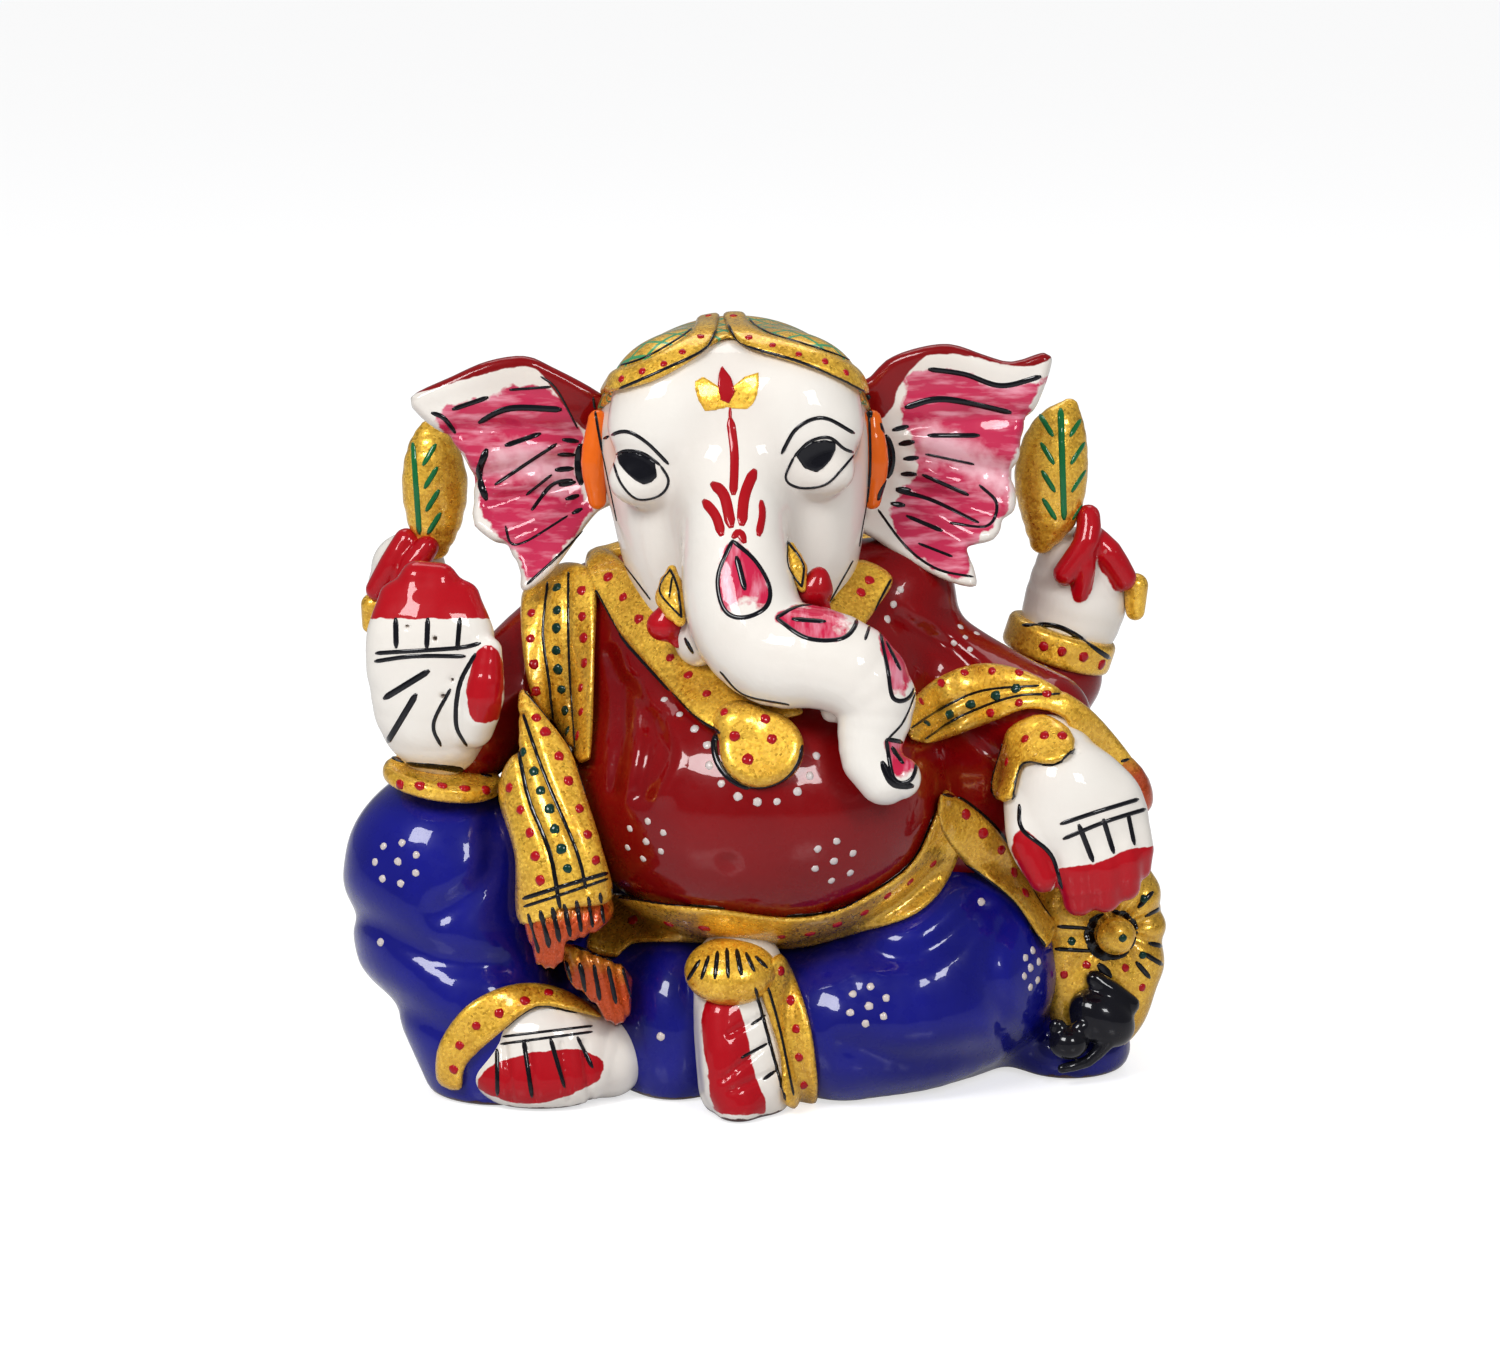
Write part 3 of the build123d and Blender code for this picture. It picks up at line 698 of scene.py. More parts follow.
# ---------------------------------------------------------------- dhoti: seat, knees and front
seat = egg((0, 6, 6), (31, 19.3, 14.2))
knee_left = egg((-30.6, -1, 18.8), (9.7, 11.6, 12)).join(egg((-31, -5.5, 22.6), (9.2, 7.6, 7.6)), 3)
knee_left = knee_left.join(limb([(-30, -5, 15, 8.8), (-27, -8.5, 8, 8), (-25, -8.8, 3, 7.8)]), 4)
knee_left = knee_left.join(limb([(-28.5, 2, 14, 8.8), (-14, 7, 9, 9)]), 4)
knee_right = limb([(20.8, -4.6, 10.4, 8.9), (15.5, -8.6, 9.4, 9.4), (8.8, -11.2, 7.4, 8)])
knee_right = knee_right.join(egg((18.4, -6.5, 13.6), (9.2, 7.6, 9.2)), 4)
knee_right = knee_right.join(limb([(19.6, -2, 11, 9.4), (13, 6, 10, 9)]), 4)
dhoti = seat.join(knee_left, 3).join(knee_right, 3)
dhoti = dhoti.join(egg((-8, -8.5, 6), (6, 7.5, 9.5)), 2.5)
dhoti = dhoti.join(egg((31.6, -1.5, 2), (6.2, 6.5, 4.2)), 2.5)
FOLDS = [
    [(-42, 19.5), (-37, 17.5), (-31, 14), (-25, 13)],
    [(-40, 10.5), (-35.5, 9.5), (-31, 7)],
    [(-25.5, 27), (-26.5, 22), (-31, 18.5)],
    [(9, 16), (13, 14), (17, 14.6), (22, 19)],
    [(24.5, 18), (23, 12), (25, 6)],
    [(9, 5), (15, 3.6), (22, 4.5)],
]
dhoti = pleated(dhoti, FOLDS, (1.3, -0.6), (1.9, 0.25), (0.8, 2.8), front=3)
dhoti = dhoti.shape(uneven(8, 0.15, 8)).meet(above_table(), 0.8)
dhoti = Form(dhoti.field, (dhoti.low[0], dhoti.low[1], 0), dhoti.high)
dhoti_nodes = ["seat", "leg_left", "leg_right", "dhoti_front"]
sculpt("dhoti", dhoti, blue, "blue_enamel", dhoti_nodes, COARSE)

# ---------------------------------------------------------------- feet
TOE_DEPTH = -13  # the paint on the toes ends here
TOES_LEFT = [
    (-27.3, 1.5), (-25.5, 3.3), (-21.5, 4.4), (-17.5, 4.7), (-15, 3.5), (-15.5, 1.5), (-19, -0.3),
    (-23, -0.9), (-26.5, 0.2),
]
foot_left = limb([(-26, -10.8, 4.6, 4.8), (-20.6, -12.6, 5.6, 5.3), (-14.8, -12, 3.8, 4)])
foot_left = foot_left.join(egg((-21, -15.2, 2.9), (6.6, 3.6, 3.4)), 1.5)
toe_gaps = [[(x, 5.4), (x + 0.3, 2.5), (x + 0.6, -0.4)] for x in (-24.6, -22.3, -19, -16.9)]
foot_left = creased(foot_left, toe_gaps, 0.3, -0.3, front=-14.5)
foot_left = foot_left.meet(above_table(), 0.6)
sculpt("foot_left", foot_left, white_red, "white_enamel", regions={"tips": within(TOES_LEFT, TOE_DEPTH)})

TOES_RIGHT = [
    (-3.5, 10.3), (-1.7, 9), (-0.7, 5.5), (0, 2), (1, -0.5), (1, -1.8), (-1.5, -2), (-4, -1.5), (-4.7, 2.5),
    (-5.3, 7), (-4.8, 9.5),
]
INSTEP = [(-1.6, -14.2, 13.4, 4.4), (-1.5, -15.6, 8, 4.5), (-0.9, -16.6, 2.8, 4.7)]
BIG_TOE = [(-3.2, -17.6, 9.6, 2.2), (-2.9, -18.6, 6.6, 2.4), (-2.5, -19.2, 3.4, 2.5), (-1.6, -19.6, 1.6, 2.4)]
foot_right = limb(INSTEP, ((0, 1, 0), 1.12))
big_toe = limb(BIG_TOE)
foot_right = foot_right.join(big_toe, 1.0)
toe_gaps = [[(-2.6, 6.2), (1, 8.3)], [(-3.2, 1.6), (1.2, 5.4)], [(-2.4, 0.4), (2.1, 2.6)]]
foot_right = creased(foot_right, toe_gaps, 0.3, -0.3, front=-15)
foot_right = foot_right.meet(above_table(), 0.6)
sculpt("foot_right", foot_right, white_red, "white_enamel", regions={"tips": within(TOES_RIGHT, TOE_DEPTH)})

# ---------------------------------------------------------------- front hands
palm = limb([(-31, -8, 35.6, 4.4), (-31.3, -9, 39, 6), (-31.4, -9.4, 44.4, 6.1)], ((0, 1, 0), 1.9))
FINGERS_LEFT = [(-35.6, -34.9, 49.2), (-33, -32.8, 51.2), (-30.3, -30.6, 51), (-27.8, -28.4, 49.2)]
for base_x, tip_x, tip_z in FINGERS_LEFT:
    finger = limb([(base_x, -9.2, 42.5, 1.95), (base_x, -9.4, 46.0, 1.9), (tip_x, -8.4, tip_z, 1.7)])
    palm = palm.join(finger, 1.3)
palm = palm.join(limb([(-27.4, -10.4, 36.8, 2), (-26.4, -11.6, 40.2, 2.1), (-25.8, -11.2, 44.6, 1.3)]), 0.9)
for x, z in ((-33.6, 47.1), (-30.9, 46.0), (-29.3, 41.9), (-30.2, 40.3)):
    palm = palm.cut(egg((x, -12.4, z), (0.24, 1.2, 0.24)), 0.2)
THUMB_LEFT = [(-27, 44.5), (-25.5, 45.3), (-24.4, 43.5), (-24.4, 40.5), (-25, 38), (-27.2, 37.7), (-28, 40.5)]
thumb = closed(THUMB_LEFT)
FINGERTIPS_Z = 47.9  # the paint on the raised fingers starts here
paint = {"tips": lambda p: np.minimum(FINGERTIPS_Z - seen(p)[:, 1], polygon_distance(seen(p), thumb))}
sculpt("hand_front_left", palm, white_red, "white_enamel", regions=paint)

grip = egg((31.3, -11.4, 28.6), (6.8, 4.4, 5.9), (-14, 0, 0))
grip = grip.join(limb([(28.6, -8, 34.4, 3.6), (30, -10.4, 31.6, 4.6)]), 2)
FINGERS_RIGHT = [
    [(30.6, -12.8, 27.5, 2.2), (31.2, -14.2, 23.6, 2.1), (31.5, -14, 20.4, 1.6)],
    [(33, -12.8, 27.8, 2.1), (33.8, -14.4, 23.8, 2), (34, -14.2, 20.8, 1.6)],
    [(35, -12.6, 28.2, 2), (35.8, -14, 24.4, 1.8), (36, -13.8, 21.8, 1.5)],
    [(36.4, -12, 28.4, 1.8), (37.2, -13, 25.2, 1.6), (37.3, -12.8, 23.4, 1.3)],
]
for route in FINGERS_RIGHT:
    grip = grip.join(limb(route), 0.6)
grip = grip.join(limb([(26, -12, 29.6, 1.8), (26.4, -13.6, 26.2, 1.9), (28, -14.6, 22.8, 1.5)]), 0.7)
TIPS_RIGHT = [(29.5, 23), (33, 23.5), (36.5, 25), (40, 25.5), (40, 14), (28.5, 14), (29, 20)]
THUMB_RIGHT = [(26, 27), (27.5, 26), (29.5, 23), (29, 21), (27.5, 20.5), (25, 25)]
tips, thumb = np.array(TIPS_RIGHT), closed(THUMB_RIGHT)
paint = {"tips": lambda p: np.minimum(polygon_distance(seen(p), tips), polygon_distance(seen(p), thumb))}
sculpt("hand_front_right", grip, white_red, "white_enamel", regions=paint)

# ---------------------------------------------------------------- back hands, buds and stems
BACK = {
    "left": {
        "hand": [(-33.4, 13, 40.4, 4.2), (-34.8, 13, 44.4, 4.6), (-35.2, 13, 48, 3.8)],
        "fingers": [
            [(-33, 9.6, 51, 1.2), (-34.4, 9.2, 49.2, 1.4), (-35.4, 9.6, 47.2, 1.2)],
            [(-35.2, 10.6, 51.4, 1.3), (-36.6, 10.2, 49, 1.4), (-38.2, 10.6, 46.4, 1.2)],
        ],
        "bud": [
            (-32.3, 11, 50.8, 1.4), (-32.4, 11, 53.9, 2.8), (-32.3, 11, 57.6, 3.3), (-32.5, 11, 60.5, 2.6),
            (-33, 11, 62.9, 0.9),
        ],
        "stem": [(-38.7, 11.4, 44.6, 1.3), (-39, 11.4, 42.6, 0.9)],
        "cuff": ((-33.2, 13, 40), (-0.25, 0, 0.95)),
    },
    "right": {
        "hand": [(31.4, 13, 40.8, 4.6), (32.6, 13, 44.6, 5.2), (33, 13, 47.8, 4.6)],
        "fingers": [
            [(33.6, 10.2, 54, 1.2), (33.4, 9.2, 51.6, 1.3), (31.2, 8.8, 48.4, 1.2)],
            [(33.2, 9.4, 52, 1), (33.2, 9, 49, 1.1), (32.8, 9.2, 46.2, 0.8)],
            [(33.6, 10.8, 52, 1.4), (35.6, 10.2, 50.2, 1.5), (37.2, 10.6, 47.6, 1.4)],
        ],
        "bud": [
            (29, 11, 51.3, 1.4), (29.7, 11, 54.4, 3), (29.8, 11, 58.1, 3.75), (30.4, 11, 61.8, 3.1),
            (31.6, 11, 64.9, 1.1),
        ],
        "stem": [(38.6, 11.6, 46.6, 1.3), (38.6, 11.6, 44, 1)],
        "cuff": ((31, 13, 40.4), (0.3, 0, 0.95)),
    },
}
for side, places in BACK.items():
    back_hand = limb(places["hand"], ((0, 1, 0), 1.25))
    fingers = limb(places["fingers"][0])
    for route in places["fingers"][1:]:
        fingers = fingers.join(limb(route), 0.2)
    back_hand = back_hand.join(fingers, 0.5)
    name = f"hand_back_{side}"
    paint = {"tips": fingers.swell(0.15).field}
    sculpt(name, back_hand, white_red, "white_enamel", regions=paint)
    bud = limb(places["bud"], ((0, 1, 0), 1.25)).shape(uneven(4, 0.15, 11))
    gild(f"lotus_bud_{side}", bud)
    gild(f"lotus_stem_{side}", limb(places["stem"]))
    gild(f"cuff_back_{side}", drum(*places["cuff"], (5.7, 5.4), 1.7))

# ---------------------------------------------------------------- front cuffs
cuff = drum((-30.7, -7.6, 31.1), (0.16, -0.1, 1), (5.9, 5.3), 0.85)
gild("cuff_front_left", cuff)


def trim(host, area, proud, sink=0.8, soft=0.6):
    """A raised layer of host's own surface inside an area."""
    return host.swell(proud).meet(area, soft).cut(host.swell(-sink), 0.1)


wrist = forms["kurta"].join(forms["hand_front_right"], 1.5)
CUFF_RIGHT = [
    (24.5, 37), (26, 38), (28, 38.5), (30.5, 37), (31, 35), (29, 33.5), (26, 33.5), (25, 30), (23.5, 30),
    (23, 31.5), (24, 35.5),
]
cuff = trim(wrist, front_area(CUFF_RIGHT, far=8), 0.9)
gild("cuff_front_right", cuff)

# ---------------------------------------------------------------- collar, pendant and bands
torso_form = forms["kurta"]
COLLAR_LEFT = [
    (-15.2, 55), (-16.4, 52.6), (-14.9, 49.8), (-12.9, 46.2), (-11.1, 44), (-8.4, 41), (-5.8, 38.2),
    (-3.4, 36.6), (0, 37.4), (4.6, 38.6), (3.3, 39.4), (-1.1, 40.4), (-3.4, 42.7), (-7, 46.5), (-10.1, 49.8),
    (-12.9, 53.6),
]
COLLAR_RIGHT = [
    (9.4, 53.6), (7.1, 49.4), (6, 46.5), (4, 41), (5.6, 40), (8.4, 44.6), (11.5, 48.7), (13.2, 52),
]
collar = trim(torso_form, front_area(COLLAR_LEFT, far=4), 1.2)
collar = collar.join(trim(torso_form, front_area(COLLAR_RIGHT, far=4), 1.2), 0.4)
neck_ring = torso_form.swell(1).meet(drum((-1.8, 4, 50.5), (0, -0.3, 1), (15, 12), 2), 0.6)
neck_ring = neck_ring.meet(Form(lambda p: 2.0 - p[:, 1], (-40, 2, 40), (40, 30, 60)), 0.4)
collar = collar.join(neck_ring, 0.4).shape(uneven(3, 0.12, 21))
gild("collar", collar)
pendant = drum((0.6, -20.2, 36.6), (0, -0.86, 0.45), (4, 3.8), 2.6, 1.2)
pendant = pendant.join(egg((-1.6, -19.4, 39.4), (2.6, 2.6, 2)), 1.2).shape(uneven(2, 0.12, 22))
gild("pendant", pendant)

UPPER_SHAWL = [
    (-22.5, 50.5), (-22.5, 45), (-21.5, 40), (-18.5, 36), (-17, 33.5), (-16, 34), (-15.5, 44), (-15.5, 52),
    (-18, 53.5), (-21, 53),
]
LANES = [
    [(-20, 51.5), (-20.5, 46.5), (-20, 42), (-19.5, 37)],
    [(-18, 52.5), (-18, 44), (-17.5, 35)],
]
shawl = trim(torso_form, front_area(UPPER_SHAWL, far=9), 1.3)
shawl = creased(shawl, LANES, 0.35, -0.3)
gild("shawl_left_upper", shawl)

LOWER_SHAWL = [
    (-23, 39.5), (-22.5, 41), (-20.5, 38.5), (-18, 35), (-16.5, 30.5), (-15, 25.5), (-14, 20), (-18, 19),
    (-23, 17.5), (-23.5, 24.5), (-25, 30), (-24.5, 33), (-23, 35.5),
]
CLOTH = [
    (-22.2, -8, 40, 2.6), (-20.6, -11, 35, 4), (-19.6, -14, 30, 4.6), (-18.4, -16.5, 25, 4.8),
    (-18.2, -17.4, 18, 4.6),
]
pad = forms["kurta"].join(forms["dhoti"], 2.0).join(limb(CLOTH), 2.0)
LOWER_LANES = [
    [(-22.5, 38.5), (-20.5, 32.5), (-17.5, 25), (-16.5, 21)],
    [(-23, 35), (-22, 30), (-20, 24.5), (-19, 18.5)],
]
shawl = trim(pad, front_area(LOWER_SHAWL, far=2), 0.9, sink=1.6)
shawl = creased(shawl, LOWER_LANES, 0.4, -0.35)
gild("shawl_left_lower", shawl)

FRINGES = {
    "fringe_left_upper": (
        [
            (-22.8, 20.2), (-22.5, 17), (-22, 14.6), (-21.6, 13.4), (-20.6, 12.8), (-19.4, 12.8),
            (-18.6, 13.9), (-18.5, 15.5), (-17.3, 15.8), (-15.9, 16.4), (-14.5, 17.5), (-13.7, 18.8),
            (-13.9, 21.1), (-14.2, 22.6), (-16.1, 22.1), (-19.4, 20.8),
        ],
        [(-18.5, -17.4, 19, 4.4), (-19.4, -17.2, 15.5, 3.6)],
    ),
    "fringe_left_lower": (
        [
            (-18.6, 15.5), (-18.8, 13.9), (-18.6, 11.8), (-17.2, 10.5), (-15.9, 9.3), (-14.8, 7.6),
            (-13.6, 7), (-12.3, 7.9), (-11.9, 9.7), (-11.9, 11.4), (-12.3, 12.9), (-13.9, 13.8),
            (-15.7, 14.6), (-17.3, 15.2),
        ],
        [(-16.2, -14.6, 14, 3.2), (-14, -15.2, 8.8, 2.8)],
    ),
}
for name, (outline, route) in FRINGES.items():
    hanging = forms["dhoti"].join(limb(route), 1.5)
    tassel = trim(hanging, front_area(outline, far=-6), 0.9, sink=1.6)
    top = max(z for x, z in outline)
    bottom = min(z for x, z in outline)
    first, last = route[0][0], route[-1][0]
    threads = [
        [(first + 3.4 * share, top - 1), (last + 2.4 * share, bottom)] for share in np.linspace(-1, 1, 7)
    ]
    tassel = creased(tassel, threads, 0.28, -0.3)
    middle = (top + bottom) / 2 + 2
    paint = {"tail": lambda p: seen(p)[:, 1] - middle}
    sculpt(name, tassel, copper, "orange_enamel", regions=paint)

FOREARM = [(28, -3, 39, 5), (31, -2.6, 37, 4.8), (34.4, -2, 33, 4)]
sleeve_shell = forms["kurta"].join(limb(FOREARM), 2)
RIGHT_SHAWL = [
    (14.5, 37), (15, 39.5), (17.5, 42), (21.5, 43.5), (25.5, 43), (29.5, 41), (33, 38.5), (37, 33.5),
    (36.5, 32), (33, 33.5), (31, 35), (30, 38), (26.5, 39), (22.5, 37.5), (16.5, 35.5),
]
RIGHT_LANES = [
    [(15, 37), (18, 39), (22, 40.8), (27.5, 41.3)],
    [(16.5, 36), (20, 38.3), (25, 40.2), (29.5, 40.5)],
]
shawl = trim(sleeve_shell, front_area(RIGHT_SHAWL, far=6), 1.2, sink=1.4)
shawl = creased(shawl, RIGHT_LANES, 0.35, -0.3)
gild("shawl_right", shawl)
RIGHT_TAIL = [(36, 34.5), (38.3, 32), (39, 28), (37.5, 28.5), (35, 32.5)]
hanging = limb([(35.4, -3, 33, 3.2), (36.6, -3.6, 29, 2.4)])
tassel = trim(hanging, front_area(RIGHT_TAIL, far=6), 0.8, sink=1.4)
paint = {"tail": lambda p: seen(p)[:, 1] - 34.5}
sculpt("fringe_right", tassel, copper, "orange_enamel", regions=paint)

lap = forms["kurta"].join(forms["dhoti"], 1.5)
WAISTBAND = [
    (-14.5, 20.5), (-9, 19.5), (-3, 19), (3, 18.2), (7.5, 18.7), (12, 21), (15.5, 24), (17.5, 28.5),
    (18.5, 31), (20.5, 28.5), (19.5, 23), (16.5, 19), (11, 16.8), (3, 14.8), (-6, 15.5), (-12, 15.5),
    (-13.5, 14), (-16.5, 15), (-15.5, 18),
]
waist = trim(lap, front_area(WAISTBAND, far=-2), 0.9).shape(uneven(3, 0.12, 31))
gild("waistband", waist)
HEM_KNEE = [
    (18, 30.5), (20, 30), (23.5, 27), (26, 23), (28, 19.5), (29.5, 17.5), (28.5, 15), (27.5, 16.5), (25, 20),
    (20.5, 23.5), (18, 27),
]
hem = trim(lap, front_area(HEM_KNEE, far=4), 1.1)
gild("hem_knee_right", hem)
foot_and_leg = forms["dhoti"].join(forms["foot_left"], 1.0)
HEM_ANKLE = [
    (-31.5, 2.5), (-31, 5.5), (-28.5, 9), (-25, 11), (-21.5, 11.5), (-18, 10.5), (-15, 8), (-17.5, 8.5),
    (-21.5, 9), (-25.5, 6), (-28.5, 3), (-29, 0.5), (-31, 1),
]
hem = trim(foot_and_leg, front_area(HEM_ANKLE, far=-4), 0.9).meet(above_table(), 0.3)
gild("hem_ankle_left", hem)
foot_and_leg = forms["dhoti"].join(forms["foot_right"], 1.0)
HEM_SHIN = [(0.5, 11.5), (2.5, 14.5), (4.5, 10.5), (5.8, 5), (6, -1), (3, -1), (2.5, 4), (1.5, 7.5)]
hem = trim(foot_and_leg, front_area(HEM_SHIN, far=-4), 0.9).meet(above_table(), 0.3)
gild("hem_ankle_right", hem)
tuft = egg((-2.4, -16.8, 14), (4.5, 3.9, 2.9), (25, 0, 0))
gild("foot_tuft", tuft)

# ---------------------------------------------------------------- cap
head_form = forms["head_and_trunk"]
BROW_LINE = [
    (-17, 69.5), (-13, 70.3), (-8.5, 72.3), (-5, 74), (-2.5, 75.2), (-0.5, 74.3), (4, 73), (8, 71.3),
    (10.5, 70), (13, 69.3),
]
brow_line = curve(BROW_LINE, 0.8)


def under_cap(p):
    """Positive below the cap's edge, which drops behind the ears to the nape."""
    spots = seen(p)
    front = np.interp(spots[:, 0], brow_line[:, 0], brow_line[:, 1]) - spots[:, 1]
    blend = np.clip((p[:, 1] + 5) / 9, 0, 1)
    return front * (1 - blend) + (65.5 - p[:, 2]) * blend


cap = trim(head_form, Form(under_cap, (-30, -30, 62), (30, 30, 90)), 0.45, soft=0.3)
sculpt("cap", cap, lattice, "cap_lattice")
BAND_LEFT = [(-14.8, 70.8), (-10.4, 72), (-7.2, 73.7), (-5.2, 75.2), (-4.5, 77.2), (-4.2, 82)]
BAND_RIGHT = [(11, 70.6), (7.6, 72.5), (3.6, 73.9), (0.4, 74.9), (-1.3, 76), (-2, 77.4), (-1.8, 82)]
LEFT_WIDTHS = [1, 1.1, 1.15, 1.15, 1.1, 1.1]
RIGHT_WIDTHS = [0.9, 1, 1, 1, 1.1, 1.1, 1.1]
NAPE_Z = 66.6
BAND_HEIGHT = 0.85
strips = trim(head_form, front_column(BAND_LEFT, LEFT_WIDTHS, far=12), BAND_HEIGHT)
strips = strips.join(trim(head_form, front_column(BAND_RIGHT, RIGHT_WIDTHS, far=12), BAND_HEIGHT), 0.2)
nape = Form(lambda p: np.maximum(np.abs(p[:, 2] - NAPE_Z) - 1.2, 3 - p[:, 1]), (-30, 3, 65), (30, 30, 68.2))
rim = trim(head_form, nape, BAND_HEIGHT)
gild("cap_band", strips.join(rim, 0.2))

# ---------------------------------------------------------------- ears
EARS = {
    "left": [
        (-33, 69.5), (-29, 71.5), (-25.5, 73), (-22, 73.5), (-19.5, 72.5), (-15, 70), (-11.5, 67), (-11, 60),
        (-15, 58.5), (-19.5, 52.5), (-22.5, 50.5), (-23, 53.5), (-27, 57), (-27, 59.5), (-27.5, 63),
        (-29.5, 65.5), (-32, 67.5),
    ],
    "right": [
        (11, 71.5), (12.5, 73), (15, 74), (18.5, 74.5), (22, 73.5), (24.5, 73), (27.5, 74), (28.5, 73.5),
        (28, 71), (26.5, 67.5), (25.5, 65.5), (25, 62), (25, 58.5), (23, 55.5), (21, 54.5), (21.5, 51),
        (18.5, 51.5), (15, 53.5), (12, 55.5), (8, 59), (8, 69),
    ],
}
PINK_AREAS = {
    "left": [
        (-30.5, 67.5), (-28.5, 69), (-25.5, 69.5), (-23, 70.5), (-20.5, 70.5), (-19, 69.5), (-17.5, 67.5),
        (-16.5, 65), (-17.5, 63), (-16.5, 60), (-15.5, 58.5), (-19, 54.5), (-22, 51.5), (-22.5, 53.5),
        (-25, 56.5), (-26.5, 59.5), (-27, 62), (-28.5, 64.5),
    ],
    "right": [
        (14.5, 71.5), (16, 72), (19.5, 72), (22.5, 70.5), (25, 70.5), (28, 71.5), (26.5, 69), (25.5, 65),
        (24.5, 63), (24, 58.5), (21, 55), (20.5, 52), (18, 52.5), (15, 54.5), (13, 58), (14, 60.5),
        (15.5, 62), (15.5, 64), (14.5, 66), (14, 68),
    ],
}
RIM = {
    "left": [
        (-33.5, 70), (-28, 73), (-23, 75), (-18, 74.5), (-12, 71), (-13, 66.5), (-16.5, 66.5), (-19.5, 70.5),
        (-22, 72.5), (-28.5, 71), (-32, 70),
    ],
    "right": [
        (9, 72), (13, 75.5), (20, 76), (28.5, 75), (28, 73), (24.5, 72.5), (20, 73.5), (16.5, 73.5),
        (14, 71), (13, 68.5), (11.5, 67), (9, 67),
    ],
}
# Paths of a painted highlight: a soft pale band across the middle of each ear.
EAR_HIGHLIGHTS = {"left": [(-24, 63.4), (-21, 62.8), (-18.6, 62)], "right": [(16.8, 65.2), (19.4, 64.2), (23.4, 61.4)]}
VALLEYS = {
    "left": [
        [(-28.9, 66.2), (-23, 66.4), (-17, 65.6)], [(-26.4, 61.6), (-21, 62.6), (-17, 63.4)],
        [(-25.4, 58.6), (-20.5, 60.2), (-17, 61.2)], [(-23.8, 55.2), (-20, 56.8), (-16.8, 59)],
    ],
    "right": [
        [(25.6, 67.6), (20, 67.4), (14.6, 66.4)], [(25, 62), (20, 62.8), (15, 63.9)],
        [(23.8, 57.6), (19, 59), (14.6, 61.2)], [(21, 54.6), (17.6, 56.6), (14, 58.6)],
    ],
}


def ear_form(side):
    """A fan of flesh, dished on its face and thick where it meets the head."""
    outline = closed(EARS[side])

    def field(p):
        rim = polygon_distance(seen(p), outline)
        out = np.clip(np.abs(p[:, 0] - HEAD_X) - 12.0, 0, 20)
        middle = 3.9 - 0.06 * out - 0.65 * np.clip(57.5 - p[:, 2], 0, 12)
        dish = 0.8 * np.exp(-((rim + 5.0) / 3.0) ** 2)
        sheet = np.maximum(middle - 1.6 + dish - p[:, 1], p[:, 1] - middle - 1.5)
        return -soft_min(-rim, -sheet, 1.2)

    spots = outline + (0, -3.5)
    low, high = spots.min(0) - 1, outline.max(0) + 1
    ear = Form(field, (low[0] * 1.04 if low[0] < 0 else low[0], -8, low[1]), (high[0] * 1.04, 8, high[1]))
    return pleated(ear, VALLEYS[side], (0.9, -0.5), (1, 0.3), (0, 2), front=4.0)


for side, sign in (("left", -1), ("right", 1)):
    ear = ear_form(side).shape(uneven(5, 0.12, 41))
    lip, highlight_band = closed(RIM[side]), curve(EAR_HIGHLIGHTS[side])
    paint = {
        "pink": within(PINK_AREAS[side], 4.0),
        # painted highlight: pale pink within a band along the path
        "ear_highlight": lambda p: path_distance(seen(p), highlight_band) - 1.3,
        "rim": lambda p: np.minimum(polygon_distance(seen(p), lip), 4.6 - p[:, 1]),
    }
    sculpt(f"ear_{side}", ear, ear_paint, "pink_enamel", regions=paint)
    x = HEAD_X + sign * 13.4
    route = [(x, -1, 65.6, 1), (x + sign * 0.4, -1.6, 61.5, 1.3), (x + sign * 0.1, -1.2, 57.6, 0.9)]
    sculpt(f"ear_ribbon_{side}", limb(route), orange, "orange_enamel")

# ---------------------------------------------------------------- bolster, button and mouse
BUTTON = np.array((35.7, -6.4, 15.0))
bolster = drum((32.4, 5.2, 13.4), (0.22, -1, 0), (6.7, 11.9), 11.9, 3.4)


def gathers(p):
    angle = np.arctan2(p[:, 2] - BUTTON[2], p[:, 0] - BUTTON[0])
    reach = np.hypot(p[:, 2] - BUTTON[2], p[:, 0] - BUTTON[0])
    front = (p[:, 1] < -2).astype(float)
    pleats = 0.3 * np.cos(angle * 9) * np.clip(1 - reach / 12, 0, 1)
    dimple = 1.2 * np.exp(-((reach / 2.6) ** 2))
    return front * (pleats - dimple)


bolster = bolster.shape(gathers).meet(above_table(), 0.6)
gild("bolster", bolster)
gild("bolster_button", egg(BUTTON - (0, 1, 0), (2, 1.7, 1.9)))
mouse = egg((34.4, -7.4, 6.6), (3.6, 2.6, 2.7), (0, 35, 0))
mouse = mouse.join(egg((31, -9.2, 4.6), (2, 1.9, 1.7)), 0.8)
for ear_x, ear_z in ((29.9, 6.2), (32.2, 6.0)):
    mouse = mouse.join(egg((ear_x, -9.4, ear_z), (0.9, 0.6, 0.9)), 0.3)
mouse = mouse.join(limb([(33.6, -7.4, 10.6, 0.9), (35.2, -7.4, 9.4, 1.1), (37.2, -6.8, 7.8, 1)]), 0.6)
mouse = mouse.join(limb([(34.8, -8.6, 4.4, 0.8), (33, -9, 2.6, 0.6), (30.4, -9.6, 2, 0.5)]), 0.3)
sculpt("mouse", mouse, black, "black_enamel")

# ---------------------------------------------------------------- brushwork
PAINT_HEIGHT = 0.09  # of a brush stroke
PROFILE = ((-1, -0.4), (-0.7, 0.75), (0, 1), (0.7, 0.75), (1, -0.4), (0, -1.6))  # across, up
DAB_SIDES = 12
DAB_RINGS = ((1, -0.3), (0.78, 0.16), (0.4, 0.26))  # share of the radius, up


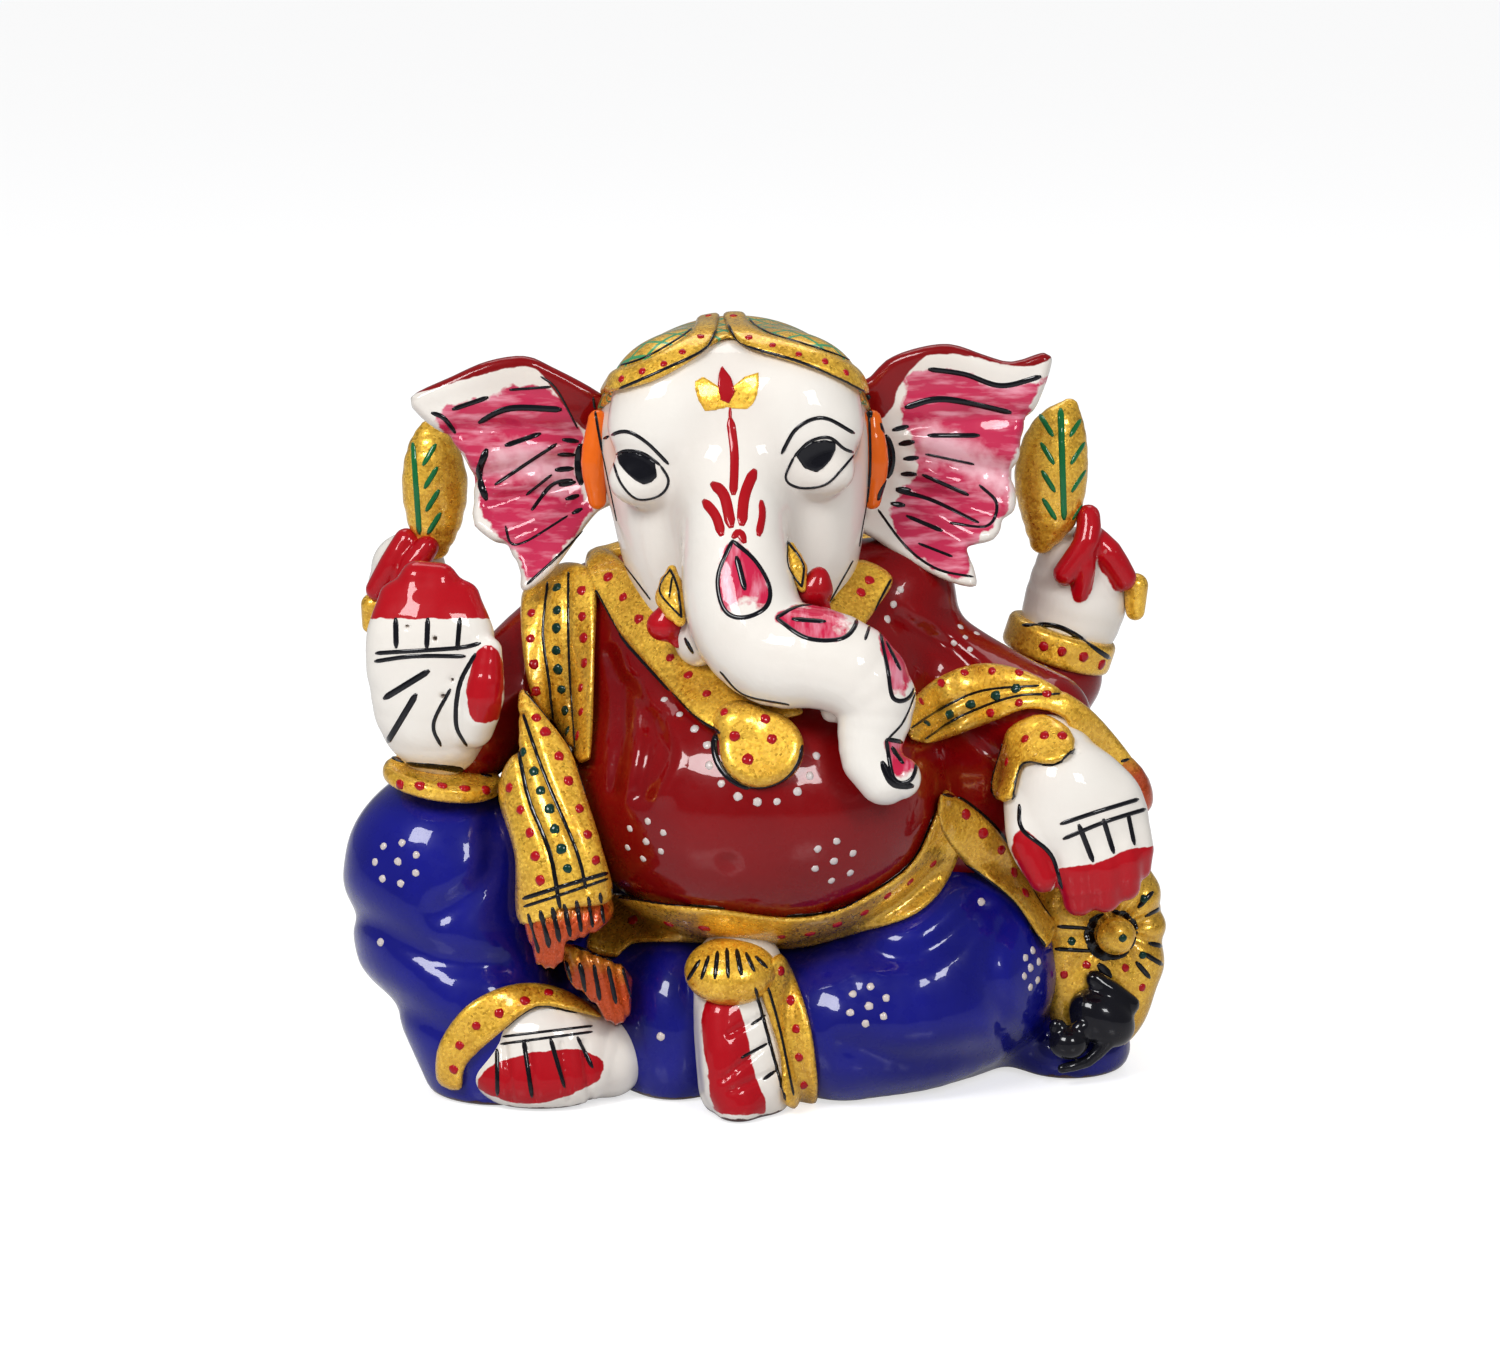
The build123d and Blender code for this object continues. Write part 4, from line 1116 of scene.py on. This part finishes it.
class Canvas:
    """The finished pieces as one surface that a brush can land on, seen from EYE."""

    def __init__(self, pieces):
        points, quads, self.owners = [], [], []
        for name, (spots, sides) in pieces.items():
            quads += (sides + len(points)).tolist()
            points += spots.tolist()
            self.owners += [name] * len(sides)
        self.tree = BVHTree.FromPolygons(points, quads)

    def land(self, x, z, on):
        """The point and normal under (x, z) of the sheet when it lies on a piece whose name starts so."""
        aim = (Vector((x, SHEET_Y, z)) - EYE).normalized()
        spot, normal, face, gap = self.tree.ray_cast(EYE, aim)
        if spot is None or not self.owners[face].startswith(on):
            return None
        return spot, normal if normal.dot(aim) < 0 else -normal

    def stroke(self, width, path, on):
        """Closed ribbons of paint along a path, one for each unbroken run on the pieces."""
        runs, run = [], []
        for x, z in curve(path, 0.25):
            hit = self.land(x, z, on)
            if hit is None or (run and (hit[0] - run[-1][0]).length > 1.2):
                runs.append(run)
                run = []
            if hit is not None:
                run.append(hit)
        return [self.ribbon(run, 0.6 * width) for run in runs + [run] if len(run) > 2]

    def ribbon(self, run, half):
        spots = np.array([spot for spot, normal in run])
        normals = np.array([normal for spot, normal in run])
        for rows in (spots, normals, spots, normals):
            rows[1:-1] = (rows[:-2] + 2 * rows[1:-1] + rows[2:]) / 4
        reach = np.concatenate([[0], np.cumsum(length(np.diff(spots, axis=0)))])
        ends = np.minimum(reach, reach[-1] - reach)
        halves = half * np.clip(0.3 + ends / (1.6 * half + 0.2), 0, 1) ** 0.7
        sides = np.cross(np.gradient(spots, axis=0), normals)
        sides = sides / np.maximum(length(sides), 1e-9)[:, None]
        points = []
        for spot, side, wide in zip(spots, sides, halves):
            for across, lift in PROFILE:
                near, normal, face, gap = self.tree.find_nearest(Vector(spot + side * across * wide))
                points.append(near + normal * lift * PAINT_HEIGHT)
        count = len(PROFILE)
        faces = [tuple(range(count))[::-1], tuple(range(len(points) - count, len(points)))]
        for i in range(0, len(points) - count, count):
            for j in range(count):
                k = (j + 1) % count
                faces.append((i + j, i + k, i + count + k, i + count + j))
        return points, faces

    def dot(self, x, z, radius, on, rng):
        """A domed dab of paint."""
        hit = self.land(x, z, on)
        if hit is None:
            return []
        spot, normal = hit
        side = normal.cross(Vector((0, 0.1, 1))).normalized()
        up = side.cross(normal)
        wobble = rng.uniform(0.88, 1.1, DAB_SIDES)
        points = []
        for share, lift in DAB_RINGS:
            for i in range(DAB_SIDES):
                angle = 2 * pi * i / DAB_SIDES
                flat = spot + (side * cos(angle) + up * sin(angle)) * radius * share * wobble[i]
                near, lean, face, gap = self.tree.find_nearest(flat)
                points.append(near + lean * lift * min(radius, 0.7))
        points += [spot + normal * 0.3 * min(radius, 0.7), spot - normal * 0.3]
        faces = []
        second, third, top, bottom = (DAB_SIDES * i + extra for i, extra in ((1, 0), (2, 0), (3, 0), (3, 1)))
        for i in range(DAB_SIDES):
            j = (i + 1) % DAB_SIDES
            faces.append((i, j, second + j, second + i))
            faces.append((second + i, second + j, third + j, third + i))
            faces += [(third + i, third + j, top), (j, i, bottom)]
        return [(points, faces)]


canvas = Canvas(hosts)
hand = np.random.default_rng(7)


def draw(name, finish, on, strokes=(), dots=()):
    """One piece made of all the strokes and dots of a finish, where they land on pieces named on."""
    shapes = []
    for width, path in strokes:
        shapes += canvas.stroke(width, path, on)
    for x, z, radius in dots:
        shapes += canvas.dot(x, z, radius, on, hand)
    points, faces = [], []
    for spots, sides in shapes:
        faces += [tuple(i + len(points) for i in side) for side in sides]
        points += spots
    if points:
        bare(add_object(name, points, faces, *finish), len(points))


def bare(piece, count):
    """Gives a piece of paint the layers that its material reads, all empty."""
    # No painted shade in hollows on the paint pieces.
    write_layer(piece, "hollow_shade", np.zeros(count))
    write_layer(piece, "sole", np.ones(count))


def film(name, host, outline, material, slot, proud=0.1):
    """A thin even coat of paint inside an outline."""
    form = trim(forms[host], front_area(outline, far=0), proud, sink=0.3, soft=0.05)
    points, quads = mesh_of(form, 0.15)
    bare(add_object(name, points, quads, material, slot), len(points))


# Marks on the sheet. Rows, rings and hatching are worked out here; single strokes are listed below.


def spaced(path, count):
    """Points evenly along a smooth path."""
    rows = curve(path, 0.2)
    reach = np.concatenate([[0], np.cumsum(length(np.diff(rows, axis=0)))])
    stops = np.linspace(0, reach[-1], count)
    return [(np.interp(stop, reach, rows[:, 0]), np.interp(stop, reach, rows[:, 1])) for stop in stops]


def beads(path, count, radius=0.58):
    """Dabs in a row along a path, as uneven as a hand leaves them."""
    return [
        (x + hand.uniform(-0.15, 0.15), z + hand.uniform(-0.15, 0.15), radius * hand.uniform(0.9, 1.12))
        for x, z in spaced(path, count)
    ]


def rosette(x, z, reach, count=6, radius=0.45, squeeze=1.0):
    """A middle dab with a ring of dabs round it."""
    turns = [2 * pi * i / count + 0.4 for i in range(count)]
    return beads([(x, z), (x, z)], 1, radius) + [
        (x + reach * squeeze * cos(turn), z + reach * sin(turn), radius) for turn in turns
    ]


def hatch(start, end, count, width):
    """Short strokes side by side, from one guide line to another."""
    pairs = zip(spaced(start, count), spaced(end, count))
    return [(width * hand.uniform(0.85, 1.15), [a, b]) for a, b in pairs]


def rays(x, z, near, far, width, degrees):
    """Strokes that run out from a point."""
    turns = [radians(angle) for angle in degrees]
    return [(width, [(x + gap * cos(turn), z + gap * sin(turn)) for gap in (near, far)]) for turn in turns]


def arc(x, z, radius, first, last):
    """Part of a ring, between two angles in degrees."""
    return [(x + radius * cos(radians(a)), z + radius * sin(radians(a))) for a in range(first, last + 1, 20)]


def leaf(low, high, sides):
    """A midrib with veins that lean up and out from it on each of its sides."""
    width = 0.5
    marks = [(width * 1.25, [low, high])]
    last = (low[0] + 0.75 * (high[0] - low[0]), low[1] + 0.75 * (high[1] - low[1]))
    for x, z in spaced([low, last], 4):
        marks += [(width, [(x + 0.8 * side, z), (x + 2.1 * side, z + 2.1)]) for side in sides]
    return marks


def petal_marks(outline):
    """The ink round a petal, with the vein that starts at its tip."""
    tip, middle = np.array(outline[0]), np.mean(outline, 0)
    vein = [tuple(tip + share * (middle - tip)) for share in (0.35, 1.1)]
    return [(0.42, [*outline, outline[0]]), (0.55, vein)]


BLACK = (black, "black_enamel")
BRIGHT = (bright_red, "red_enamel")
PALE = (pale, "white_enamel")
VERDANT = (verdant, "cap_lattice")
DEEP_GREEN = (dark_green, "cap_lattice")
IRISES = {
    "left": [(-13.3, 63.8), (-11.5, 64.2), (-9.6, 63.2), (-9.4, 61.8), (-10.7, 61), (-12.4, 62.2)],
    "right": [(3.9, 63.8), (5.4, 65.2), (7.7, 65.2), (7.3, 63.5), (5.9, 62.2), (4.7, 62.6)],
}
LOTUS = [
    (-5.8, 71), (-5, 71.5), (-3.4, 70.5), (-2.2, 70.5), (-1, 71.5), (0.3, 71.9), (0.2, 69.7), (-0.8, 68.3),
    (-2.7, 68.5), (-4.8, 68.1), (-5.5, 69.3),
]
FLAME = [(-3.2, 72.6), (-2.3, 71.4), (-1.9, 70), (-2.5, 68.9), (-3.3, 69.2), (-3.6, 70.6)]
for side, outline in IRISES.items():
    film(f"iris_{side}", "head_and_trunk", outline, *BLACK)
film("forehead_lotus", "head_and_trunk", LOTUS, gold, "gold_paint")
film("forehead_flame", "head_and_trunk", FLAME, *BRIGHT, proud=0.2)

# Head
LIDS = [
    (0.3, [(-13.7, 63.6), (-12.6, 64.3), (-10.8, 64.1), (-9.1, 62.9)]),
    (0.25, [(-13.7, 63.6), (-12.9, 61.2), (-11.3, 59.6), (-9.1, 60), (-8.3, 61.4), (-9.1, 62.9)]),
    (0.3, [(3.7, 63.7), (5.2, 65.2), (7.1, 65.6), (8.5, 64.5), (9.6, 64.1)]),
    (0.25, [(3.7, 63.7), (2.9, 61.6), (4.3, 60.7), (6.7, 61), (8.2, 62.4), (9.6, 64.1)]),
]
BROWS = [
    (0.35, [(-14.5, 65.5), (-12.5, 66.2), (-10.5, 65.2), (-8.3, 63)]),
    (0.35, [(2.5, 64), (4, 66.5), (6.5, 67.5), (9.5, 66)]),
]
TEMPLES = [(0.25, [(-15.5, 69.5), (-14.8, 65), (-13.3, 57.5)]), (0.25, [(10.8, 70), (11, 62), (10, 55)])]
draw("eye_and_brow_lines", BLACK, ("head", "ear"), LIDS + BROWS + TEMPLES)
BAND_EDGES = [
    (0.3, [*BROW_LINE[1:4], (-4, 75.4), (-3.1, 77.4)]),
    (0.3, [(-3, 77.4), (-1.9, 75.2), *BROW_LINE[5:9]]),
    (0.25, shifted(BAND_LEFT[:5], -0.7, 1.1)),
    (0.25, shifted(BAND_RIGHT[:6], 0.9, 0.8)),
]
draw("cap_lines", BLACK, ("head", "cap"), BAND_EDGES)
draw("cap_dots", BRIGHT, ("cap",), dots=beads(BAND_LEFT[:5], 7, 0.42) + beads(BAND_RIGHT[:6], 7, 0.42))
TILAK = [
    (0.3, [(-2.4, 68.5), (-2.4, 67)]),
    (0.8, [(-2.4, 67.5), (-2, 64), (-2.1, 60)]),
    (0.9, [(-5, 59.5), (-3.8, 58), (-3.2, 56)]),
    (1, [(-4.2, 61.2), (-3, 60), (-2.3, 56.8)]),
    (1, [(0, 62.5), (-1, 60), (-1.3, 57)]),
    (0.75, [(0.6, 59.5), (0.7, 58), (0.3, 56)]),
    (0.8, [(-2.2, 55.8), (-1.5, 56.4), (-1, 55.3)]),
]
draw("forehead_strokes", BRIGHT, ("head",), TILAK)
TRUNK_EDGES = [
    (0.25, [(15.5, 40.6), (14.4, 37.8), (12.8, 35.9)]),
    (0.7, [(12.3, 33.8), (13.4, 31.6), (15.4, 31.3)]),
    (0.3, [(10.2, 48.5), (11, 47.4), (10.6, 45.8)]),
]
draw("trunk_lines", BLACK, ("head",), sum(map(petal_marks, PETALS), TRUNK_EDGES))
TUSK_EDGES = [
    (0.2, [(-8.2, 52.8), (-9.2, 50.6), (-7.1, 48)]),
    (0.25, [(-8.2, 52.8), (-7.5, 51), (-7.1, 48)]),
    (0.2, [(-8, 52), (-8.3, 50)]),
    (0.25, [(3.1, 55.5), (4.6, 53.3), (4.5, 51)]),
    (0.2, [(3.1, 55.5), (3.2, 53), (4.5, 51)]),
    (0.6, [(-6.8, 46), (-6, 44.5)]),
]
draw("tusk_lines", BLACK, ("tusk", "head"), TUSK_EDGES)

# Ears
LASH_GUIDES = [
    ([(-18.5, 65.4), (-19.2, 62.2), (-17.6, 58.2)], [(-16.9, 65.2), (-17.4, 62.6), (-16.6, 58.7)]),
    ([(14.7, 66.7), (15.7, 63.2), (14.4, 59)], [(13.1, 66.3), (14.2, 63.3), (13, 59.2)]),
]
LASHES = [lash for outer, inner in LASH_GUIDES for lash in hatch(outer, inner, 6, 0.55)]
EAR_STROKES_AND_SHADOWS = [
    (0.45, [(-31, 68), (-29.8, 67.5), (-28.7, 66)]),
    (0.45, [(-29, 68.3), (-25.5, 69.5)]),
    (0.25, [(-23.5, 70.2), (-19.5, 70.5)]),
    (0.6, [(-26.5, 67), (-23.5, 68.4), (-18.5, 68.3)]),
    (0.5, [(-24, 64.8), (-20.5, 66)]),
    (0.35, [(-25, 61), (-19, 65)]),
    (0.7, [(-25.7, 64.5), (-26.5, 62), (-25.8, 59.5)]),
    (0.3, [(-22, 60), (-19.5, 62)]),
    (0.4, [(-21.5, 58.5), (-19.5, 61), (-17.5, 61.5)]),
    (0.25, [(-24, 57), (-23.5, 55.3), (-22, 55.5), (-18, 58)]),
    (0.25, [(-22, 51.3), (-18, 55), (-14.5, 59)]),
    (0.2, [(-20.5, 71.5), (-19, 70.3), (-17, 66.5)]),
    # painted shadow: a dark arc where the left ear meets the head
    (0.85, [(-16.7, 65), (-16.9, 63), (-16.7, 61)]),
    (0.5, [(16.5, 72.2), (20, 71.7), (23.5, 70.6), (27.3, 71.5)]),
    (0.6, [(14.3, 68.5), (18, 69.3), (24.5, 68)]),
    (0.45, [(16.5, 65.8), (21.5, 65.8)]),
    (0.25, [(16.3, 64), (21, 63)]),
    (0.4, [(16, 62), (20.5, 60)]),
    (0.45, [(13.5, 60.5), (17, 59.5), (21.5, 57.3)]),
    (0.3, [(18.7, 57.3), (22.3, 57), (23.2, 59.2), (21.5, 61)]),
    (0.45, [(14.5, 58), (18, 56.5)]),
    (0.3, [(15.7, 55.3), (19, 54)]),
    (0.25, [(11.5, 59), (14.5, 55), (17.5, 52.8), (21, 52)]),
    # painted shadow: a dark arc where the right ear meets the head
    (0.7, [(12, 67), (13.1, 63.5), (11.8, 59.5)]),
    (0.8, [(10.6, 71), (11, 67.5)]),
]
# Ink on the ears, with two arcs of painted shadow at their roots.
draw("ear_lines_and_shadows", BLACK, ("ear", "head"), LASHES + EAR_STROKES_AND_SHADOWS)

# Chest
COLLAR_EDGES = [
    (0.42, COLLAR_LEFT[1:8]),
    (0.25, COLLAR_LEFT[14:]),
    (0.4, [COLLAR_LEFT[12], COLLAR_LEFT[11], COLLAR_LEFT[10]]),
    (0.3, COLLAR_RIGHT[:2]),
    (0.25, COLLAR_RIGHT[6:]),
    (0.6, arc(0.3, 35.4, 4.3, 160, 360)),
]
draw("collar_lines", BLACK, ("collar", "pendant", "kurta", "head"), COLLAR_EDGES)
collar_dots = [(-2, 36.3, 0.6), (1.6, 36, 0.6), (1, 38, 0.6), (-0.7, 34, 0.7)]
collar_dots += [(10.2, 50.5, 0.6), (11, 51.7, 0.6)]
collar_dots += beads([(-14.3, 52), (-8.6, 44.6), (-3.1, 38.6)], 8)
draw("collar_dots", BRIGHT, ("collar", "pendant"), dots=collar_dots)
NECKLACE = [(-8.8, 39.8), (-5.1, 36.2), (-4.4, 33), (-1.6, 30.3), (2.4, 29.8), (5.2, 32), (5.9, 34.2)]
shirt_dots = beads(NECKLACE, 12, 0.47) + beads([(12.8, 47.8), (14, 50.7)], 3, 0.47)
shirt_dots += rosette(-10.7, 25.9, 1.9, radius=0.42) + rosette(7.7, 23.8, 2) + rosette(20.3, 46, 1.2, 4, 0.4)
draw("kurta_dots", PALE, ("kurta",), dots=shirt_dots)
draw("belly_line", BLACK, ("kurta", "waistband"), [(0.65, WAISTBAND[:3]), (0.65, WAISTBAND[3:8])])
waist_dots = beads([(-11.8, 17.9), (-5, 17.1)], 3, 0.7)
waist_dots += beads([(2.7, 16), (8.6, 17.6), (16.7, 23), (18.8, 26)], 8)
draw("waistband_dots", BRIGHT, ("waistband",), dots=waist_dots)

# Legs and feet
knee_dots = rosette(-35, 23.6, 2.1, 7) + rosette(11.1, 9.2, 1.9) + rosette(27.1, 12.9, 1.9, 6, squeeze=0.4)
knee_dots += [(-36.7, 15.6, 0.5), (22.1, 19.7, 0.5), (-9.3, 6, 0.5)]
draw("dhoti_dots", PALE, ("dhoti",), dots=knee_dots)
draw("hem_knee_lines", BLACK, ("hem_knee", "kurta", "dhoti"), [(0.5, HEM_KNEE[:6]), (0.6, HEM_KNEE[6:10])])
draw("hem_knee_dots", BRIGHT, ("hem_knee",), dots=beads([(20.6, 28.5), (24, 24.8), (26.4, 20.6)], 5, 0.62))
TOE_LINES = [
    (0.4, HEM_ANKLE[7:11]),
    (0.25, [(-25.3, 5.2), (-16, 6.5)]),
    (0.25, [(-24.8, 6), (-16, 7.1)]),
    *hatch([(-25.4, 5.5), (-20.5, 5.8), (-17.5, 6)], [(-25.4, 0), (-20.4, 0), (-16, 2.8)], 4, 0.4),
    (0.35, [(0, 11), (1.3, 6), (3, -0.5)]),
    (0.3, [(1.3, 11), (2.5, 6.5), (3.8, 0)]),
    *hatch([(-0.4, 7.2), (-1.4, 3), (0.8, 1.6)], [(1, 8.2), (1.2, 5.2), (2, 2.5)], 3, 0.35),
    *hatch([(-5.4, 13.8), (-2.6, 15), (0, 14.2)], [(-6.6, 11.8), (-2.5, 12), (1.2, 13)], 7, 0.45),
]
draw("foot_lines", BLACK, ("foot", "hem_ankle"), TOE_LINES)
ankle_dots = beads([(-29.6, 2.6), (-28, 6.8), (-20.3, 10.6)], 6, 0.55)
ankle_dots += beads([(2.5, 12.6), (3.8, 8), (4.8, 0.9)], 5, 0.55)
draw("hem_ankle_dots", BRIGHT, ("hem_ankle",), dots=ankle_dots)

# Shawls and their fringes
SHAWL_EDGES = [(0.3, path) for path in LANES]
SHAWL_EDGES += [(0.35, LOWER_SHAWL[1:5]), (0.35, LOWER_LANES[0]), (0.45, LOWER_LANES[1])]
draw("shawl_left_lines", BLACK, ("shawl_left",), SHAWL_EDGES)
edge_dots = beads([(-21.7, 48.4), (-21.2, 38.2)], 5) + beads([(-16.7, 50.6), (-16.6, 45), (-17.2, 36.4)], 7)
edge_dots += beads([(-20.2, 36.8), (-17.4, 30), (-15.5, 23.9)], 6)
edge_dots += beads([(-23.9, 31.2), (-22.1, 26.8), (-21.1, 21.8)], 5)
draw("shawl_left_red_dots", BRIGHT, ("shawl_left",), dots=edge_dots)
middle_dots = beads([(-19.2, 50.9), (-19.2, 44), (-18.2, 36.8)], 8)
middle_dots += beads([(-22.4, 34.8), (-20.2, 29.4), (-18.3, 22.9)], 7)
draw("shawl_left_green_dots", DEEP_GREEN, ("shawl_left",), dots=middle_dots)
FRINGE_THREADS = [
    (0.4, [(-22.7, 20), (-19, 21.2), (-14.4, 22.6)]),
    (0.3, [(-22.6, 19.2), (-19, 20.4), (-14.4, 22)]),
    *hatch([(-22.2, 18.5), (-18.2, 19.6), (-14, 21)], [(-21.2, 14.5), (-17.8, 16.3), (-13.7, 18)], 8, 0.48),
    (0.5, [(-18.5, 15.6), (-12.5, 13)]),
    (0.25, [(-16, 15.1), (-12.5, 14)]),
    *hatch([(-18.6, 13.7), (-13, 13)], [(-18, 11.5), (-15, 9.6), (-12, 9.3)], 5, 0.5),
]
draw("fringe_left_lines", BLACK, ("fringe", "shawl"), FRINGE_THREADS)
RIGHT_EDGES = [(0.25, path) for path in RIGHT_LANES]
RIGHT_EDGES += [(0.4, [(34.5, 33.5), (36.3, 34)]), (0.3, [(36, 32.7), (38, 30)])]
draw("shawl_right_lines", BLACK, ("shawl_right", "fringe_right"), RIGHT_EDGES)
edge_dots = beads([(16.1, 39.8), (19.2, 42.3), (25.5, 42.7)], 5, 0.5)
edge_dots += beads([(28.3, 40.3), (22.7, 38.7)], 3, 0.5)
draw("shawl_right_red_dots", BRIGHT, ("shawl_right",), dots=edge_dots)
middle_dots = beads([(16.8, 37.5), (21, 39.5), (25.4, 41)], 5)
draw("shawl_right_green_dots", DEEP_GREEN, ("shawl_right",), dots=middle_dots)

# Hands, cuffs and buds
PALM_LINES = [
    *hatch([(-34.7, 48), (-28.5, 48)], [(-34.7, 45), (-28.8, 44.8)], 3, 0.48),
    (0.4, [(-36.7, 44.5), (-29, 45), (-26.5, 45.5)]),
    (0.4, [(-36.8, 43.7), (-33, 44.2), (-28, 44.2)]),
    (0.6, [(-36, 40), (-31.5, 42.8)]),
    (0.6, [(-35.8, 35.5), (-32.8, 40.5)]),
    (0.35, [(-29.5, 41), (-31.2, 37.5), (-30.5, 35.3)]),
    (0.45, [(-27, 44.5), (-28.6, 41.4), (-29, 37.5), (-28, 35.3)]),
]
draw("hand_front_left_lines", BLACK, ("hand_front_left",), PALM_LINES)
# Black along the wrist: partly the ink line on the cuff's top edge, partly painted shadow in the gap under
# the hand.
WRIST_LINE_AND_SHADOW = [(-35.4, 34.3), (-33.5, 33.5), (-29.9, 33.1), (-25.6, 32.3)]
draw("wrist_line_and_shadow", BLACK, ("hand", "cuff"), [(0.9, WRIST_LINE_AND_SHADOW)])
wrist_dots = beads([(-34.6, 31.6), (-31, 31.4), (-26.2, 30.8)], 5, 0.62)
draw("wrist_dots", BRIGHT, ("cuff_front_left",), dots=wrist_dots)
GRIP_LINES = [
    (0.4, [(29.7, 27.5), (33.5, 28.8), (37.3, 30)]),
    (0.4, [(30, 26), (34, 27.7), (38, 29)]),
    *hatch([(31.5, 27.5), (36.3, 28.6)], [(33, 23.7), (37, 25.4)], 3, 0.45),
    (0.4, [(25.7, 29.5), (26, 27), (28.8, 24.5), (30, 21)]),
]
draw("hand_front_right_lines", BLACK, ("hand_front_right",), GRIP_LINES)
CUFF_EDGES = [(0.4, CUFF_RIGHT[4:8]), (0.25, CUFF_RIGHT[8:])]
draw("cuff_right_lines", BLACK, ("cuff", "hand", "kurta"), CUFF_EDGES)
cuff_dots = beads([(26.2, 36.1), (29.7, 36.4)], 3) + [(24.4, 33.7, 0.5)]
draw("cuff_right_dots", BRIGHT, ("cuff_front_right",), dots=cuff_dots)
draw("back_cuff_line", BLACK, ("cuff_back", "hand_back"), [(0.5, [(25.8, 47.3), (29.6, 47), (34.3, 44)])])
draw("back_cuff_dots", BRIGHT, ("cuff_back_right",), dots=beads([(27.8, 45.2), (33.6, 43.5)], 4, 0.6))
VEINS = leaf((-32.3, 56.2), (-32.8, 65.1), (1,)) + leaf((29.7, 57.6), (29.2, 68.4), (-1, 1))
draw("bud_veins", VERDANT, ("lotus",), VEINS)

# Bolster
GATHERS = [
    (0.45, [(28, 17.3), (32.7, 17)]),
    (0.4, [(28.3, 15), (33, 14.7)]),
    (0.6, arc(35, 16.4, 2.3, 0, 360)),
    (1.1, arc(35, 16.4, 2.3, 130, 270)),
    *rays(35, 16.4, 3.6, 5.8, 0.5, (-50, -32, -14, 30, 48, 66)),
    (0.9, [(33.6, 13.4), (35.6, 11.3), (37.8, 9.6)]),
]
draw("bolster_lines", BLACK, ("bolster",), GATHERS)
GREEN_SPOTS = [(31, 15.7, 0.5), (38, 20, 0.5), (38, 14.3, 0.5), (36, 16, 0.5)]
draw("bolster_green_dots", DEEP_GREEN, ("bolster",), dots=GREEN_SPOTS)
RED_SPOTS = [(36, 20, 0.6), (36.3, 13, 0.5), (38, 11, 0.5), (32.5, 13.3, 0.5), (30.3, 12.3, 0.5)]
draw("bolster_red_dots", BRIGHT, ("bolster",), dots=RED_SPOTS)


# ---------------------------------------------------------------- floor, lights and camera


def studio():
    data = bpy.data.meshes.new("floor")
    data.from_pydata([(-3, -3, 0), (3, -3, 0), (3, 3, 0), (-3, 3, 0)], [], [(0, 1, 2, 3)])
    floor = bpy.data.objects.new("floor", data)
    collection.objects.link(floor)
    nodes = Nodes("floor_white")
    nodes.link(nodes.spread(nodes.noise(3), 0, 1, 0.14, 0.2), nodes.shader.inputs["Roughness"])
    nodes.shader.inputs["Base Color"].default_value = (0.62, 0.62, 0.63, 1)
    nodes.shader.inputs["Emission Color"].default_value = (1, 1, 1, 1)
    glow = nodes.spread(nodes.add("ShaderNodeLightPath").outputs["Is Camera Ray"], 0, 1, 0.12, 0.56)
    nodes.link(glow, nodes.shader.inputs["Emission Strength"])
    data.materials.append(nodes.material)

    world = bpy.data.worlds.new("studio")
    world.use_nodes = True
    backdrop = world.node_tree.nodes["Background"]
    backdrop.inputs[0].default_value = (1, 1, 1, 1)
    rays = world.node_tree.nodes.new("ShaderNodeLightPath")
    glossy, direct = (world.node_tree.nodes.new("ShaderNodeMix") for _ in range(2))
    glossy.inputs[2].default_value = 0.4  # the light that falls on the idol
    glossy.inputs[3].default_value = 0.22  # what its lacquer mirrors
    direct.inputs[3].default_value = 1.0  # what is seen straight behind it
    for output, target in (
        (rays.outputs["Is Glossy Ray"], glossy.inputs[0]),
        (rays.outputs["Is Camera Ray"], direct.inputs[0]),
        (glossy.outputs[0], direct.inputs[2]),
        (direct.outputs[0], backdrop.inputs[1]),
    ):
        world.node_tree.links.new(output, target)
    bpy.context.scene.world = world

    target = Vector((0, 0, 35)) * MM
    for place, size, power in (
        ((-0.28, -0.42, 0.46), (0.24, 0.2), 2),
        ((0.24, -0.44, 0.34), (0.14, 0.14), 0.8),
        ((0, 0.3, 0.6), (0.5, 0.3), 0.9),
    ):
        light = bpy.data.lights.new("softbox", "AREA")
        light.shape = "RECTANGLE"
        light.size, light.size_y = size
        light.energy = power
        lamp = bpy.data.objects.new("softbox", light)
        lamp.location = place
        lamp.rotation_euler = (target - Vector(place)).to_track_quat("-Z", "Y").to_euler()
        collection.objects.link(lamp)

    view = bpy.data.cameras.new("camera")
    view.sensor_width = 36
    view.lens = 115
    camera = bpy.data.objects.new("camera", view)
    camera.location = EYE * MM
    camera.rotation_euler = LOOK.to_track_quat("-Z", "Y").to_euler()
    view.clip_start = 0.01
    collection.objects.link(camera)
    bpy.context.scene.camera = camera
    bpy.context.scene.view_settings.view_transform = "Standard"
    bpy.context.scene.view_settings.look = "Medium High Contrast"


studio()
